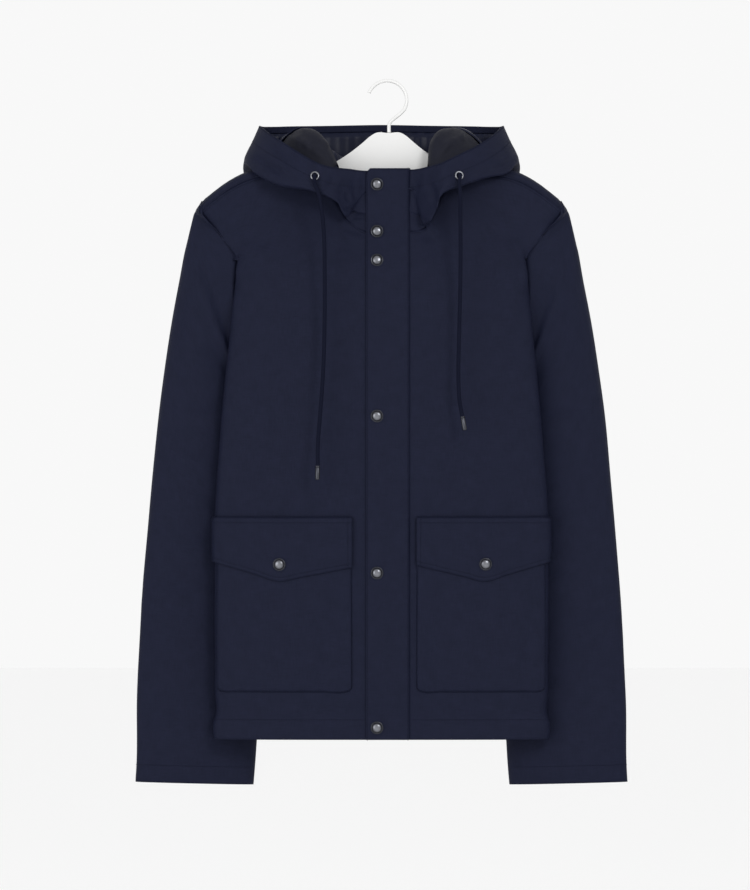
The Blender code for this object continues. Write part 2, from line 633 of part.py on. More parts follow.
# ---------------------------------------------------------------- what lies on the fronts
def body_offset(angle, z, side, out):
    """A point of the lower body moved out along its normal."""
    small = 1e-3
    here = lower_body(angle, z, side)
    across = lower_body(angle + small, z, side) - here
    up = lower_body(angle, z + 1.0, side) - here
    normal = np.cross(across, up) * side
    return here + normal / np.linalg.norm(normal, axis=-1, keepdims=True) * out


def place_at(angle):
    """How far across the body a section angle lies; the opposite of angle_at."""
    return BODY_HALF_WIDTH * np.abs(np.sin(angle)) ** SECTION_POWER


def pocket_columns(side, from_x, to_x, extra=()):
    """The front's own columns between two places across, and a few more."""
    angles = [a for a in front_columns(side)[1:11] if from_x - 0.01 < place_at(a) < to_x + 0.01]
    return np.array(sorted(angles + [angle_at(x) for x in extra]))


def pocket(side):
    """Patch pocket: the bag on the front and the pointed flap over it."""
    sizes = POCKETS[side]
    sign = -1 if side == "left" else 1
    inner, outer = abs(sizes["inner"]), abs(sizes["outer"])
    angles = pocket_columns(side, inner, outer, (inner + POCKET_CORNER, outer - POCKET_CORNER / 2))
    x = place_at(angles)
    corner = np.minimum(x - inner, outer - x) / POCKET_CORNER
    bottom = POCKET_BOTTOM_Z + POCKET_CORNER * (1 - np.sqrt(1 - (1 - np.clip(corner, 0, 1)) ** 2))
    rows = [body_offset(angles, bottom + (POCKET_TOP_Z - bottom) * share, sign, LAY_GAP + SHELL_WALL)
            for share in (0, 0.34, 0.67, 1)]
    cloth(f"pocket_{side}", np.array(rows), flip=side == "left")
    angles = pocket_columns(side, inner, BODY_HALF_WIDTH, (outer - POCKET_CORNER / 2,))
    x = place_at(angles)
    lip = sorted((abs(px), pz) for px, pz in sizes["lip"])
    low = np.interp(x, [p[0] for p in lip], [p[1] for p in lip])
    out = 2 * (LAY_GAP + SHELL_WALL)
    rows = [body_offset(angles, low + (POCKET_SEAM_Z - low) * share, sign, out) for share in (0, 0.5, 1)]
    cloth(f"flap_{side}", np.array(rows), flip=side == "left")
    snap_x, snap_z = sizes["snap"]
    angle = np.array([angle_at(snap_x)])
    spot = body_offset(angle, snap_z, sign, out + LAY_GAP)[0]
    snap(f"flap_snap_{side}", spot, body_offset(angle, snap_z, sign, out + 2)[0] - spot)


def snap(name, centre, axis):
    """Domed snap cap: a flat rim and a low dome."""
    radius = SNAP_D / 2
    profile = ((0, 0), (radius, 0), (radius, 1.0), (radius * 0.88, 1.6), (radius * 0.80, 1.5),
               (radius * 0.62, SNAP_H * 0.72), (radius * 0.34, SNAP_H * 0.94), (0, SNAP_H))
    return turned(name, profile, centre, axis, "snap_metal")


def placket_face_y(x, z, out):
    """The fronts, and above the neck seam the stand of the collar, moved outwards."""
    on_front = front_point(x, np.minimum(z, NECK["left"][0][1]))[..., 1]
    rise = np.maximum(z - NECK["left"][0][1], 0) / (PLACKET_TOP - NECK["left"][0][1])
    collar = HOOD["left"][0]["edge"][1]
    return on_front + (collar - on_front) * rise - out


def placket():
    corner_x = np.array([PLACKET_LEFT, PLACKET_LEFT + 2.3, PLACKET_LEFT + PLACKET_CORNER])
    x = np.concatenate([corner_x, [PLACKET_SNAP_X, CENTRE_X, 21.0, PLACKET_RIGHT]])
    inset = np.clip((x - PLACKET_LEFT) / PLACKET_CORNER, 0, 1)
    top = PLACKET_TOP - PLACKET_CORNER * (1 - np.sqrt(1 - (1 - inset) ** 2))
    marks = [z for z in FRONT_ROWS_Z] + [-200.0, NECK["left"][0][1], -150.0, -125.0]
    rows = [np.stack([x, placket_face_y(x, np.full(len(x), z), PLACKET_OUT), np.full(len(x), z)], axis=1)
            for z in marks if z > HEM_Z + 1 or z == HEM_Z]
    rows.append(np.stack([x, placket_face_y(x, top, PLACKET_OUT), top], axis=1))
    cloth("placket", np.array(rows))
    reach = SNAP_D / 2
    for number, z in enumerate(PLACKET_SNAP_Z, 1):
        above, here, below = (float(placket_face_y(np.array(PLACKET_SNAP_X), z + dz, PLACKET_OUT))
                              for dz in (reach, 0, -reach))
        axis = np.array([0, -1, (above - below) / SNAP_D])
        lift = max(0, here - (above + below) / 2) + LAY_GAP
        snap(f"snap_{number}", np.array([PLACKET_SNAP_X, here - lift, z]), axis)


def eyelet_and_cord(side):
    """Metal eyelet in the hood's casing, and the free end of drawcord that comes out of it."""
    x, z = EYELETS[side]
    spot, normal = on_wing(side, x, z)
    inner, outer = EYELET_HOLE / 2, EYELET_D / 2
    ring = ((inner, 0), (outer, 0), (outer, EYELET_H * 0.5), (outer - 1, EYELET_H),
            (inner + 0.5, EYELET_H), (inner, EYELET_H * 0.5))
    washer(f"eyelet_{side}", ring, spot + normal * SEAM_GAP, normal)
    start = spot + normal * (EYELET_H + SEAM_GAP)
    way = [start, start + normal * 4 + np.array([0, -1.0, -1.0]), np.array([x, CORD_Y + 0.5, z - 9.5])]
    way += [np.array([px, CORD_Y, pz]) for px, pz in CORDS[side]]
    way = np.array(way)
    length = np.concatenate([[0], np.cumsum(np.linalg.norm(np.diff(way, axis=0), axis=1))])
    points = curve_through(length, way)(np.linspace(0, length[-1], CORD_POINTS))
    shift = np.array([JACKET_X, 0, 0])
    tube(f"drawcord_{side}", points + shift, CORD_D, "cord")
    end, lead = points[-1], points[-1] - points[-2]
    lead = lead / np.linalg.norm(lead)
    radius = TIP_D / 2
    tip = ((0, 0), (radius, 0), (radius, TIP_LENGTH - 1), (radius * 0.75, TIP_LENGTH), (0, TIP_LENGTH))
    turned(f"cord_tip_{side}", tip, end + lead * SEAM_GAP, lead, "snap_metal", steps=14)


def washer(name, profile, centre, axis, steps=24):
    """A closed ring turned from a profile that goes all the way round its own section."""
    mesh = bpy.data.meshes.new(name)
    build = bmesh.new()
    direction = np.asarray(axis) / np.linalg.norm(axis)
    side = np.cross(direction, (0.0, 0.3, 1.0))
    side /= np.linalg.norm(side)
    other = np.cross(direction, side)
    rings = []
    for k in range(steps):
        angle = 2 * math.pi * k / steps
        ray = side * math.cos(angle) + other * math.sin(angle)
        spots = [np.asarray(centre) + ray * radius + direction * height for radius, height in profile]
        rings.append([build.verts.new(tuple((p + [JACKET_X, 0, 0]) * MM)) for p in spots])
    for k in range(steps):
        here, there = rings[k], rings[(k + 1) % steps]
        for j in range(len(profile)):
            nxt = (j + 1) % len(profile)
            build.faces.new((here[j], here[nxt], there[nxt], there[j]))
    face_outwards(build)
    build.to_mesh(mesh)
    build.free()
    mesh.shade_smooth()
    return add_object(name, mesh, "snap_metal")


# ---------------------------------------------------------------- hanger
def hanger():
    """Flat white hanger: an outline with sloping arms, and a wire hook that stands on it."""
    top = curve_through([p[0] for p in HANGER_TOP], [p[1] for p in HANGER_TOP])
    low = curve_through([p[0] for p in HANGER_LOW], [p[1] for p in HANGER_LOW])
    reach = HANGER_TOP[-1][0]
    along = np.concatenate([np.linspace(0, 60, 13), np.linspace(60, reach, 15)[1:]])
    upper = [(x, float(top(x))) for x in along]
    lower = [(x, float(low(x))) for x in along[::-1]]
    middle = (upper[-1][1] + lower[0][1]) / 2
    half_tip = (upper[-1][1] - lower[0][1]) / 2
    nose = [(reach + half_tip * 0.9 * math.sin(a), middle + half_tip * math.cos(a))
            for a in np.linspace(0, math.pi, 9)[1:-1]]
    right = upper + nose + lower
    outline = right + [(-x, z) for x, z in right[::-1] if x > 0.01]
    curve = bpy.data.curves.new("hanger_body", "CURVE")
    curve.dimensions = "2D"
    curve.fill_mode = "BOTH"
    curve.extrude = HANGER_THICK / 2 * MM
    line = curve.splines.new("POLY")
    line.use_cyclic_u = True
    line.points.add(len(outline) - 1)
    for spot, (x, z) in zip(line.points, outline):
        spot.co = (x * MM, z * MM, 0, 1)
    body = add_object("hanger_body", curve, "hanger_white")
    body.rotation_euler = (math.pi / 2, 0, 0)
    centre_x, centre_z = HOOK_CENTRE
    turn = np.radians(np.linspace(HOOK_FROM, HOOK_TO, 26))
    arc = [(centre_x + HOOK_RADIUS * math.cos(a), 0, centre_z + HOOK_RADIUS * math.sin(a)) for a in turn]
    stem_top = HANGER_TOP[0][1] + SEAM_GAP
    stem = [(x, 0, z) for x, z in HOOK_STEM] + [(HOOK_STEM[-1][0], 0, stem_top)]
    knots = np.array(arc[-3:] + stem)
    bend = curve_through(np.arange(len(knots)), knots)(np.linspace(2, len(knots) - 1, 18))
    tube("hanger_hook", arc + [tuple(p) for p in bend[1:]], HOOK_WIRE, "hanger_white", resolution=3)


def main():
    for old in list(bpy.data.objects):
        bpy.data.objects.remove(old, do_unlink=True)
    collection = bpy.data.collections.new(COLLECTION)
    bpy.context.scene.collection.children.link(collection)
    half = back_half()
    back = np.concatenate([half[:, :0:-1] * np.array([-1, 1, 1]), half], axis=1)
    for edge in (0, -1):
        back = clear_of_armhole(back, BACK_ROWS_Z.index(ARMPIT_Z), edge)
    cloth("back", back, flip=True)
    for side in ("left", "right"):
        left = side == "left"
        front = front_grid(side)
        cloth(f"front_{side}", clear_of_armhole(front, FRONT_ROWS_Z.index(ARMPIT_Z), -1), flip=left)
        cloth(f"sleeve_{side}", sleeve_grid(side, front, half), closed=True, flip=left)
        cloth(f"hood_{side}", hood_surface(side), flip=not left)
        pocket(side)
        eyelet_and_cord(side)
    hood_lining()
    placket()
    hanger()


main()
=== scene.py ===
# %% [markdown]
# # A hooded nylon jacket on a flat hanger
#
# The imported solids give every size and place. This script lays finer pieces over them: cloth with
# soft creases, stitches, turned snap caps, braided cords and a moulded hanger. Lengths in the tables
# are millimetres, measured from the inside of the hook's crown. They become metres in each mesh.
# %% Load the frame
import math

import bmesh
import bpy
import numpy as np
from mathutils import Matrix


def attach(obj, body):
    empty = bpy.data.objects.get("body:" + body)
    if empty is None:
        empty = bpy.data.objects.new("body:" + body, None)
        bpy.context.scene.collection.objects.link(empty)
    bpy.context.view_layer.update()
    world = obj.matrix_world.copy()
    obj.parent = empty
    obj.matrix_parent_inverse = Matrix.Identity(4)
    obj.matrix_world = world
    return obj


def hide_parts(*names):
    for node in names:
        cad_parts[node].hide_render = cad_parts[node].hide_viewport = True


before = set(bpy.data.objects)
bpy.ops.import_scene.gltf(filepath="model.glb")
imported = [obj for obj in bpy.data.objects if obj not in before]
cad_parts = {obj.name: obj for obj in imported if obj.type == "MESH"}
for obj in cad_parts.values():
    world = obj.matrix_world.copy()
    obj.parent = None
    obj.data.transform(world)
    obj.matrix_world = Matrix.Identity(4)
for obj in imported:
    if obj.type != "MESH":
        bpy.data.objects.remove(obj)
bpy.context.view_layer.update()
MM = 0.001
print("nodes in the frame:", len(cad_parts))

# %% [markdown]
# ## Camera, floor and light
#
# The jacket hangs straight in front of the camera. A long lens from nine metres keeps its edges
# parallel. The floor lies below the cuffs, pale and plain, and the studio light is broad: a large
# panel high on the right gives the cords their shadows, and a weaker one fills in from the left.
# %% Camera
VIEW_CENTRE = (-16.2, -436.8)      # across and down
VIEW_HEIGHT = 1068.0
CAMERA_AWAY = 9000.0
CHEST_Y = -35.0
SENSOR = 36.0

lens = bpy.data.cameras.new("camera")
lens.sensor_width = SENSOR
lens.lens = SENSOR * CAMERA_AWAY / VIEW_HEIGHT
camera = bpy.data.objects.new("camera", lens)
camera.location = (VIEW_CENTRE[0] * MM, (CHEST_Y - CAMERA_AWAY) * MM, VIEW_CENTRE[1] * MM)
camera.rotation_euler = (math.radians(90), 0, 0)
bpy.context.scene.collection.objects.link(camera)
bpy.context.scene.camera = camera
bpy.context.scene.view_settings.view_transform = "Standard"
print("lens:", round(lens.lens, 1), "mm")

# %% Floor and studio light
FLOOR_Z = -1.30
FLOOR_REACH = 20
SKY_STRENGTH = 0.94

floor_mesh = bpy.data.meshes.new("floor")
corners = [(x * FLOOR_REACH, y * FLOOR_REACH, FLOOR_Z) for x, y in ((-1, -1), (1, -1), (1, 1), (-1, 1))]
floor_mesh.from_pydata(corners, [], [(0, 1, 2, 3)])
floor = bpy.data.objects.new("floor", floor_mesh)
bpy.context.scene.collection.objects.link(floor)
floor_paint = bpy.data.materials.new("pale_floor")
floor_paint.use_nodes = True
floor_sockets = floor_paint.node_tree.nodes["Principled BSDF"].inputs
floor_sockets["Base Color"].default_value = (0.97, 0.97, 0.97, 1)
floor_sockets["Roughness"].default_value = 0.9
floor_mesh.materials.append(floor_paint)


def light_panel(name, place, aim, size, watts):
    lamp = bpy.data.lights.new(name, "AREA")
    lamp.size = size
    lamp.energy = watts
    panel = bpy.data.objects.new(name, lamp)
    panel.location = place
    way = np.array(aim) - np.array(place)
    tilt = math.acos(-way[2] / np.linalg.norm(way))
    panel.rotation_euler = (tilt, 0, math.atan2(way[1], way[0]) - math.pi / 2)
    bpy.context.scene.collection.objects.link(panel)


light_panel("key_light", (1.3, -2.6, 0.9), (0, 0, -0.4), 0.8, 34)
light_panel("fill_light", (-2.2, -2.4, -0.1), (0, 0, -0.5), 2.0, 34)
sky = bpy.data.worlds.new("studio")
sky.use_nodes = True
sky.node_tree.nodes["Background"].inputs["Color"].default_value = (1, 1, 1, 1)
sky.node_tree.nodes["Background"].inputs["Strength"].default_value = SKY_STRENGTH
bpy.context.scene.world = sky
print("stage: floor at", FLOOR_Z, "m")

# %% [markdown]
# ## How the cloth is cut
#
# The same named sizes and short tables that shape the solids shape the fine cloth: one table for the
# ridge over the shoulders, one for the body's sections, one for the sleeves and one for the hood. A
# smooth curve runs through each table, so a few rows are enough.
# %% Sizes of the jacket
SIGN = {"left": -1, "right": 1}    # the viewer's left and right
JACKET_X = -8.4            # the jacket's centre line hangs this far left of the hook
SHELL_WALL = 1.4
LINING_WALL = 0.9
SEAM_GAP = 0.5             # between pieces at a seam
LAY_GAP = 0.8              # under what lies on a panel
BODY_HALF_WIDTH = 201.0
SECTION_POWER = 0.8        # below 1 gives the body's section a flatter front and quicker sides
SHOULDER_ROUND = 14.0      # how far front and back stand off the ridge over the hanger
BULGE_REACH = 200.0        # below the ridge, where the chest has its full depth
CENTRE_X = 8.0             # the fronts meet here, under the placket
YOKE_Z = -212.0            # where the armhole seam comes out from behind the side fold
ARMPIT_Z = -345.0
HEM_Z = -791.0
SEAM_ROUND = math.radians(78)   # the shoulder seam lies this far round the ridge, to the front
SIDE_SEAM = math.radians(106)
ARMPIT_TURN = math.radians(116)

PLACKET_LEFT, PLACKET_RIGHT, PLACKET_TOP = -18.6, 34.4, -104.5
PLACKET_CORNER = 8.0
PLACKET_SNAP_X = -5.4
PLACKET_SNAP_Z = (-123.6, -180.0, -214.8, -402.0, -590.4, -776.4)
SNAP_D = 15.0

POCKET_SEAM_Z, POCKET_TOP_Z, POCKET_BOTTOM_Z, POCKET_CORNER = -522.7, -531.0, -734.0, 7.0
EYELET_D, EYELET_HOLE, EYELET_H = 11.0, 6.2, 1.1
CORD_D = 4.8
TIP_D, TIP_LENGTH = 5.4, 17.0
FACING_WIDTH = 22.0        # the drawcord casing inside the hood's opening edge

HANGER_THICK = 9.0
HOOK_WIRE = 4.2
HOOK_RADIUS = 23.5

# %% Ridge, body, neck and armhole
RIDGE = dict(
    x=(0, 60, 100, 164, 185, 202, 216, 221, 240),
    z=(-90, -92, -98, -108, -119, -131, -143, -149, -172),
)
BODY = dict(
    z=(-791, -769, -764, -752, -612, -520, -440, -355, -283, -212),
    half_width=(202.7, 202.7, 200.6, 200.6, 201, 200.5, 195.5, 188, 180.5, 173.5),
    side_y=(-2, -2, -2, -2.3, -5, -7, -10, -12, -13, -14),
    front_bulge=(25, 25, 25, 25.3, 28, 30, 31, 31, 30, 30),
    back_y=(26, 26, 26, 26.4, 30, 33, 35, 36, 36, 36),
)
# Neck seam, from the centre front over each shoulder: across and down
NECK = dict(
    left=((8, -181), (-21, -181), (-38, -170), (-46, -161),
          (-53, -147), (-70, -128), (-89, -114), (-98, -109.4)),
    right=((8, -181), (34.4, -181), (46, -180), (56, -172),
           (66, -154), (74, -134), (89, -115), (98, -109.4)),
)
BACK_NECK = ((0, -118), (28, -117), (56, -112.5), (78, -105.5), (90, -100))
# Armhole seam on the front, from where the side fold hides it up towards the shoulder seam
ARMHOLE_FRONT = ((173.5, -212), (188, -192), (204, -171))

# %% Sleeve and hood sections
SLEEVE = (
    dict(outer=(226, -161), outer_y=2, inner=(172, -351), inner_y=9, thick=26),
    dict(outer=(237, -203), outer_y=7, inner=(169, -362), inner_y=14, thick=42),
    dict(outer=(244.5, -242), outer_y=10, inner=(165, -380), inner_y=24, thick=50),
    dict(outer=(255.5, -302), outer_y=12, inner=(157, -415), inner_y=33, thick=56),
    dict(outer=(267, -383), outer_y=14, inner=(149, -465), inner_y=37, thick=54),
    dict(outer=(279, -503), outer_y=15, inner=(145, -550), inner_y=38, thick=46),
    dict(outer=(289, -623), outer_y=15, inner=(146, -650), inner_y=36, thick=38),
    dict(outer=(295, -743), outer_y=14, inner=(149, -757), inner_y=33, thick=32),
    dict(outer=(296, -824), outer_y=14, inner=(153, -830), inner_y=31, thick=29),
    dict(outer=(297, -843), outer_y=14, inner=(154.5, -847), inner_y=31, thick=29),
)

# Hood sections round the neck. Each runs up from the neck seam to a crest, over and down to the fold that
# lies outside the collar, and up again to the hood's opening edge. Sections 0 to 12 run from the
# centre front round to the centre back.
HOOD = dict(
    left=(
        dict(crest=(8, -28.2, -157), fold=(8, -29.5, -132), edge=(8, -31, -106)),
        dict(crest=(-20, -28.2, -158), fold=(-20, -29.5, -134), edge=(-19, -31, -107.5)),
        dict(crest=(-36, -26.5, -152), fold=(-41, -40, -163), edge=(-38, -39, -105.5)),
        dict(crest=(-43, -24.5, -128), fold=(-51, -49, -148), edge=(-57, -48, -104)),
        dict(crest=(-55, -27, -101), fold=(-66, -54, -139), edge=(-74, -54, -99.5)),
        dict(crest=(-67, -24, -79), fold=(-91, -50, -131), edge=(-91, -48, -90.5)),
        dict(crest=(-77, -13, -64), fold=(-121, -39, -126), edge=(-112, -37, -77)),
        dict(crest=(-88, 0, -58), fold=(-146, -20, -113), edge=(-132, -17, -63.5)),
        dict(crest=(-95, 17, -59), fold=(-155, 6, -101), edge=(-146, 12, -52)),
        dict(crest=(-92, 30, -67), fold=(-153, 38, -126), edge=(-143, 42, -51.5)),
        dict(crest=(-76, 39, -80), fold=(-130, 54, -188), edge=(-124, 68, -50.5)),
        dict(crest=(-44, 45, -94), fold=(-78, 62, -258), edge=(-78, 79, -49.3)),
        dict(crest=(0, 48, -98), fold=(0, 64, -290), edge=(0, 83, -48)),
    ),
    right=(
        dict(crest=(8, -28.2, -157), fold=(8, -29.5, -132), edge=(8, -31, -106)),
        dict(crest=(36, -28.2, -157), fold=(36, -29.5, -132), edge=(36, -31, -106)),
        dict(crest=(46, -26.5, -160), fold=(50, -39, -172), edge=(50, -39, -104)),
        dict(crest=(52, -24.5, -138), fold=(63, -49, -160), edge=(63, -47.5, -101)),
        dict(crest=(58, -27, -101), fold=(71, -54, -138), edge=(75, -53.5, -97)),
        dict(crest=(61, -24, -80), fold=(91, -50, -128), edge=(91, -47, -89)),
        dict(crest=(69, -13, -63), fold=(121, -38, -117), edge=(113, -36, -78)),
        dict(crest=(80, 0, -58), fold=(146, -20, -111), edge=(132, -17, -65)),
        dict(crest=(92, 17, -59), fold=(155, 6, -101), edge=(146, 12, -52)),
        dict(crest=(91, 30, -67), fold=(153, 38, -126), edge=(143, 42, -51.5)),
        dict(crest=(76, 39, -80), fold=(130, 54, -188), edge=(124, 68, -50.5)),
        dict(crest=(44, 45, -94), fold=(78, 62, -258), edge=(78, 79, -49.3)),
        dict(crest=(0, 48, -98), fold=(0, 64, -290), edge=(0, 83, -48)),
    ),
)

# %% Pockets, eyelets and cords
POCKETS = dict(
    left=dict(outer=-198.0, inner=-35.4, lip=((-201.0, -577.0), (-122.3, -600.4), (-35.4, -583.6)),
              snap=(-122.3, -580.0)),
    right=dict(outer=197.0, inner=42.0, lip=((42.0, -581.0), (124.5, -600.4), (201.0, -577.0)),
               snap=(124.5, -579.6)),
)
EYELETS = dict(left=(-79.8, -114.6), right=(93.0, -114.0))
# Each cord's free end: across and down below the eyelet; it hangs plumb in front of the chest
CORDS = dict(
    left=((-77, -131), (-71.5, -157), (-68.5, -194), (-68, -225), (-68, -277), (-69, -329), (-71, -368),
          (-74, -407), (-76, -433), (-76.4, -461)),
    right=((93.8, -131), (94.4, -165), (94.6, -205), (94.2, -250), (93, -300), (92, -345), (92.2, -366),
           (93.7, -386), (96.6, -402)),
)
CORD_Y = -63.0

# %% Rows and columns of the pattern
LOOSE_FROM = math.radians(80)      # front columns beyond this angle close up towards the panel's edge
FRONT_ROWS_Z = (HEM_Z, -769.0, -764.0, POCKET_BOTTOM_Z, -665.0, -600.4, -562.0, -526.0, -440.0, ARMPIT_Z,
                -300.0, -255.0, YOKE_Z)
BACK_ROWS_Z = FRONT_ROWS_Z[:FRONT_ROWS_Z.index(ARMPIT_Z) + 1]
NECK_COLUMNS = 8
BACK_SPREAD = (0, 0.13, 0.26, 0.37, 0.46, 0.55, 0.65, 0.74, 0.83, 0.92, 1)
# Columns that meet the shoulder seam, in front and behind
SHOULDER_X = (98, 121.7, 145.4, 169.1, 192.8, 216.5)
SIDE_SEAM_TURN = 0.05              # the gap at the side seam, as an angle
BACK_BULGE = 22.0
BACK_CLIMB = (0.22, 0.42, 0.60, 0.76, 0.87, 0.93, 0.965, 1.0)
BACK_ARMHOLE = dict(share=(0, 0.22, 0.42, 0.60, 0.76, 0.87, 1.0), x=(172.5, 174, 181, 192, 204, 212, 216.5))
SHOULDER_SEAM_DROP = 2.2           # the front starts this far below the back's edge, whose chords sag
SLEEVE_RING = 20
SLEEVE_GAP = 1.2
HOOD_STEPS = (3, 6, 4)             # columns up to the crest, down to the fold, up to the facing
HOOD_ROWS = (0, 1) + tuple(k / 2 for k in range(3, 25))   # section numbers
LINING_FIRST_ROW = HOOD_ROWS.index(4)     # before this row the collar's inside doesn't show
LINING_CHANGE_ROW = HOOD_ROWS.index(7.5)   # where the grey side lining meets the satin at the back
LINING_INSET = SHELL_WALL + 0.6
HOOD_INSET, HOOD_LIFT = 1.3, 1.0   # the hood starts just inside and above the neck seam
CREST_ROUND = 1.1
BEND = 5.0                         # least radius of the hood's crest and fold

PLACKET_OUT = LAY_GAP + SHELL_WALL
print("hood sections:", len(HOOD_ROWS), "body rows:", len(FRONT_ROWS_Z))


# %% Smooth curves through a table
def hermite(start, end, start_slope, end_slope, u):
    """The cubic from start to end with these slopes, at shares u of the way."""
    return ((2 * u**3 - 3 * u**2 + 1) * start + (u**3 - 2 * u**2 + u) * start_slope
            + (3 * u**2 - 2 * u**3) * end + (u**3 - u**2) * end_slope)


def distances(points):
    """How far along a line each of its points lies."""
    return np.concatenate([[0], np.cumsum(np.linalg.norm(np.diff(points, axis=0), axis=1))])


def curve_through(knots, values):
    """A function that passes smoothly through a short table; the slopes come from the neighbouring rows."""
    knots = np.asarray(knots, float)
    values = np.asarray(values, float)
    slopes = np.gradient(values, knots, axis=0)

    def at(where):
        where = np.clip(np.asarray(where, float), knots[0], knots[-1])
        i = np.clip(np.searchsorted(knots, where, side="right") - 1, 0, len(knots) - 2)
        span = knots[i + 1] - knots[i]
        u = (where - knots[i]) / span
        more = (1,) * (values.ndim - 1)
        u, span = u.reshape(u.shape + more), span.reshape(u.shape + more)
        return hermite(values[i], values[i + 1], span * slopes[i], span * slopes[i + 1], u)

    return at


def smooth_step(t):
    t = np.clip(t, 0.0, 1.0)
    return t * t * (3 - 2 * t)


def power(value, exponent):
    return np.sign(value) * np.abs(value) ** exponent


ridge_z = curve_through(RIDGE["x"], RIDGE["z"])
half_width = curve_through(BODY["z"], BODY["half_width"])
side_y = curve_through(BODY["z"], BODY["side_y"])
front_bulge = curve_through(BODY["z"], BODY["front_bulge"])
back_depth = curve_through(BODY["z"], BODY["back_y"])

# %% [markdown]
# ## The drawcords
#
# A round braided cord leaves each eyelet and hangs plumb in front of the chest, ending in a small
# metal tip. Its length is fixed, so the route is a list of points and the braid is modelled on a
# tube around it: two sets of strands that cross, raised a little where one passes over the other.
# %% Braided tube
CORD_STEPS = 420
CORD_SIDES = 28
BRAID_STRANDS = 8
BRAID_TURN = 11.0                  # mm of cord for a strand's whole turn
BRAID_RELIEF = 0.22


def frames_along(way):
    """Unit tangents, and two directions square to them that never twist suddenly."""
    tangent = np.gradient(way, axis=0)
    tangent /= np.linalg.norm(tangent, axis=1, keepdims=True)
    side = np.cross(tangent, (0.0, 1.0, 0.0))
    side /= np.linalg.norm(side, axis=1, keepdims=True)
    return tangent, side, np.cross(tangent, side)


def braided_tube(name, way, diameter):
    """A mesh tube along the way, with the strands' relief, closed at both ends."""
    away = distances(way)
    tangent, side, other = frames_along(way)
    turn = 2 * math.pi * np.arange(CORD_SIDES) / CORD_SIDES
    spots = []
    for i, spot in enumerate(way):
        twist = 2 * math.pi * away[i] / BRAID_TURN
        right = np.cos((turn - twist) * BRAID_STRANDS / 2)
        left = np.cos((turn + twist) * BRAID_STRANDS / 2)
        radius = diameter / 2 - BRAID_RELIEF * (1 - np.maximum(right**2, left**2)) * 1.6
        ring = spot + radius[:, None] * (np.cos(turn)[:, None] * side[i] + np.sin(turn)[:, None] * other[i])
        spots.append(ring)
    spots = np.concatenate(spots + [way[:1], way[-1:]])
    faces = []
    for i in range(len(way) - 1):
        for k in range(CORD_SIDES):
            nxt = (k + 1) % CORD_SIDES
            low, high = i * CORD_SIDES, (i + 1) * CORD_SIDES
            faces.append((low + k, high + k, high + nxt, low + nxt))
    last = (len(way) - 1) * CORD_SIDES
    for k in range(CORD_SIDES):
        nxt = (k + 1) % CORD_SIDES
        faces.append((len(spots) - 2, k, nxt))
        faces.append((len(spots) - 1, last + nxt, last + k))
    mesh = bpy.data.meshes.new(name)
    mesh.from_pydata([tuple(p * MM) for p in spots], [], faces)
    outwards(mesh)
    mesh.shade_smooth()
    return add_piece(name, mesh)


def outwards(mesh):
    """Turn a closed mesh's faces outwards, by the sign of its volume."""
    build = bmesh.new()
    build.from_mesh(mesh)
    if build.calc_volume(signed=True) < 0:
        bmesh.ops.reverse_faces(build, faces=build.faces)
    build.to_mesh(mesh)
    build.free()


def add_piece(name, mesh):
    piece = bpy.data.objects.new(name, mesh)
    bpy.context.scene.collection.objects.link(piece)
    return piece


# %% [markdown]
# ## Cloth from a grid
#
# Each sewn piece is a grid of points on its outer face. The short tables give a coarse grid, which
# is made finer by a smooth curve through its rows and columns. The soft creases and the puckers of
# the seams then move the points along their normals, and Solidify gives the cloth its thickness.
# %% Finer grids
CLOTH_STEP = 4.0


def refine(grid, step=CLOTH_STEP, closed=False):
    """A finer grid through the same points, a step apart in both directions."""
    for axis in (1, 0):
        lines = np.moveaxis(grid, axis, 0)
        count = len(lines)
        wraps = closed and axis == 1
        if wraps:
            lines = np.concatenate([lines[-3:], lines, lines[:4]])
        gaps = np.linalg.norm(np.diff(lines, axis=0), axis=2).mean(axis=1)
        knots = np.concatenate([[0], np.cumsum(gaps)])
        where = []
        first, last = (3, 3 + count) if wraps else (0, count - 1)
        for i in range(first, last):
            parts = max(1, round(gaps[i] / step))
            where += list(knots[i] + gaps[i] * np.arange(parts) / parts)
        if not wraps:
            where.append(knots[-1])
        grid = np.moveaxis(curve_through(knots, lines)(np.array(where)), 0, axis)
    return grid


def outward(grid, closed=False):
    """Unit normals on the outer side of a grid of rows and columns."""
    if closed:
        ring = np.concatenate([grid[:, -1:], grid, grid[:, :1]], axis=1)
        across = ring[:, 2:] - ring[:, :-2]
    else:
        across = np.gradient(grid, axis=1)
    normal = np.cross(across, np.gradient(grid, axis=0))
    return normal / np.maximum(np.linalg.norm(normal, axis=2, keepdims=True), 1e-9)


# %% Edges of a grid
def from_edge(grid, edge):
    """The grid turned so that its first line is this edge."""
    grid = grid.swapaxes(0, 1) if edge in ("left", "right") else grid
    return grid[::-1] if edge in ("top", "right") else grid


def turned_back(grid, edge):
    """The opposite of from_edge."""
    grid = grid[::-1] if edge in ("top", "right") else grid
    return grid.swapaxes(0, 1) if edge in ("left", "right") else grid


def way_in(lines):
    """How far each point lies from the first line, measured along the cloth."""
    steps = np.linalg.norm(np.diff(lines, axis=0), axis=2)
    return np.concatenate([np.zeros((1, lines.shape[1])), np.cumsum(steps, axis=0)])


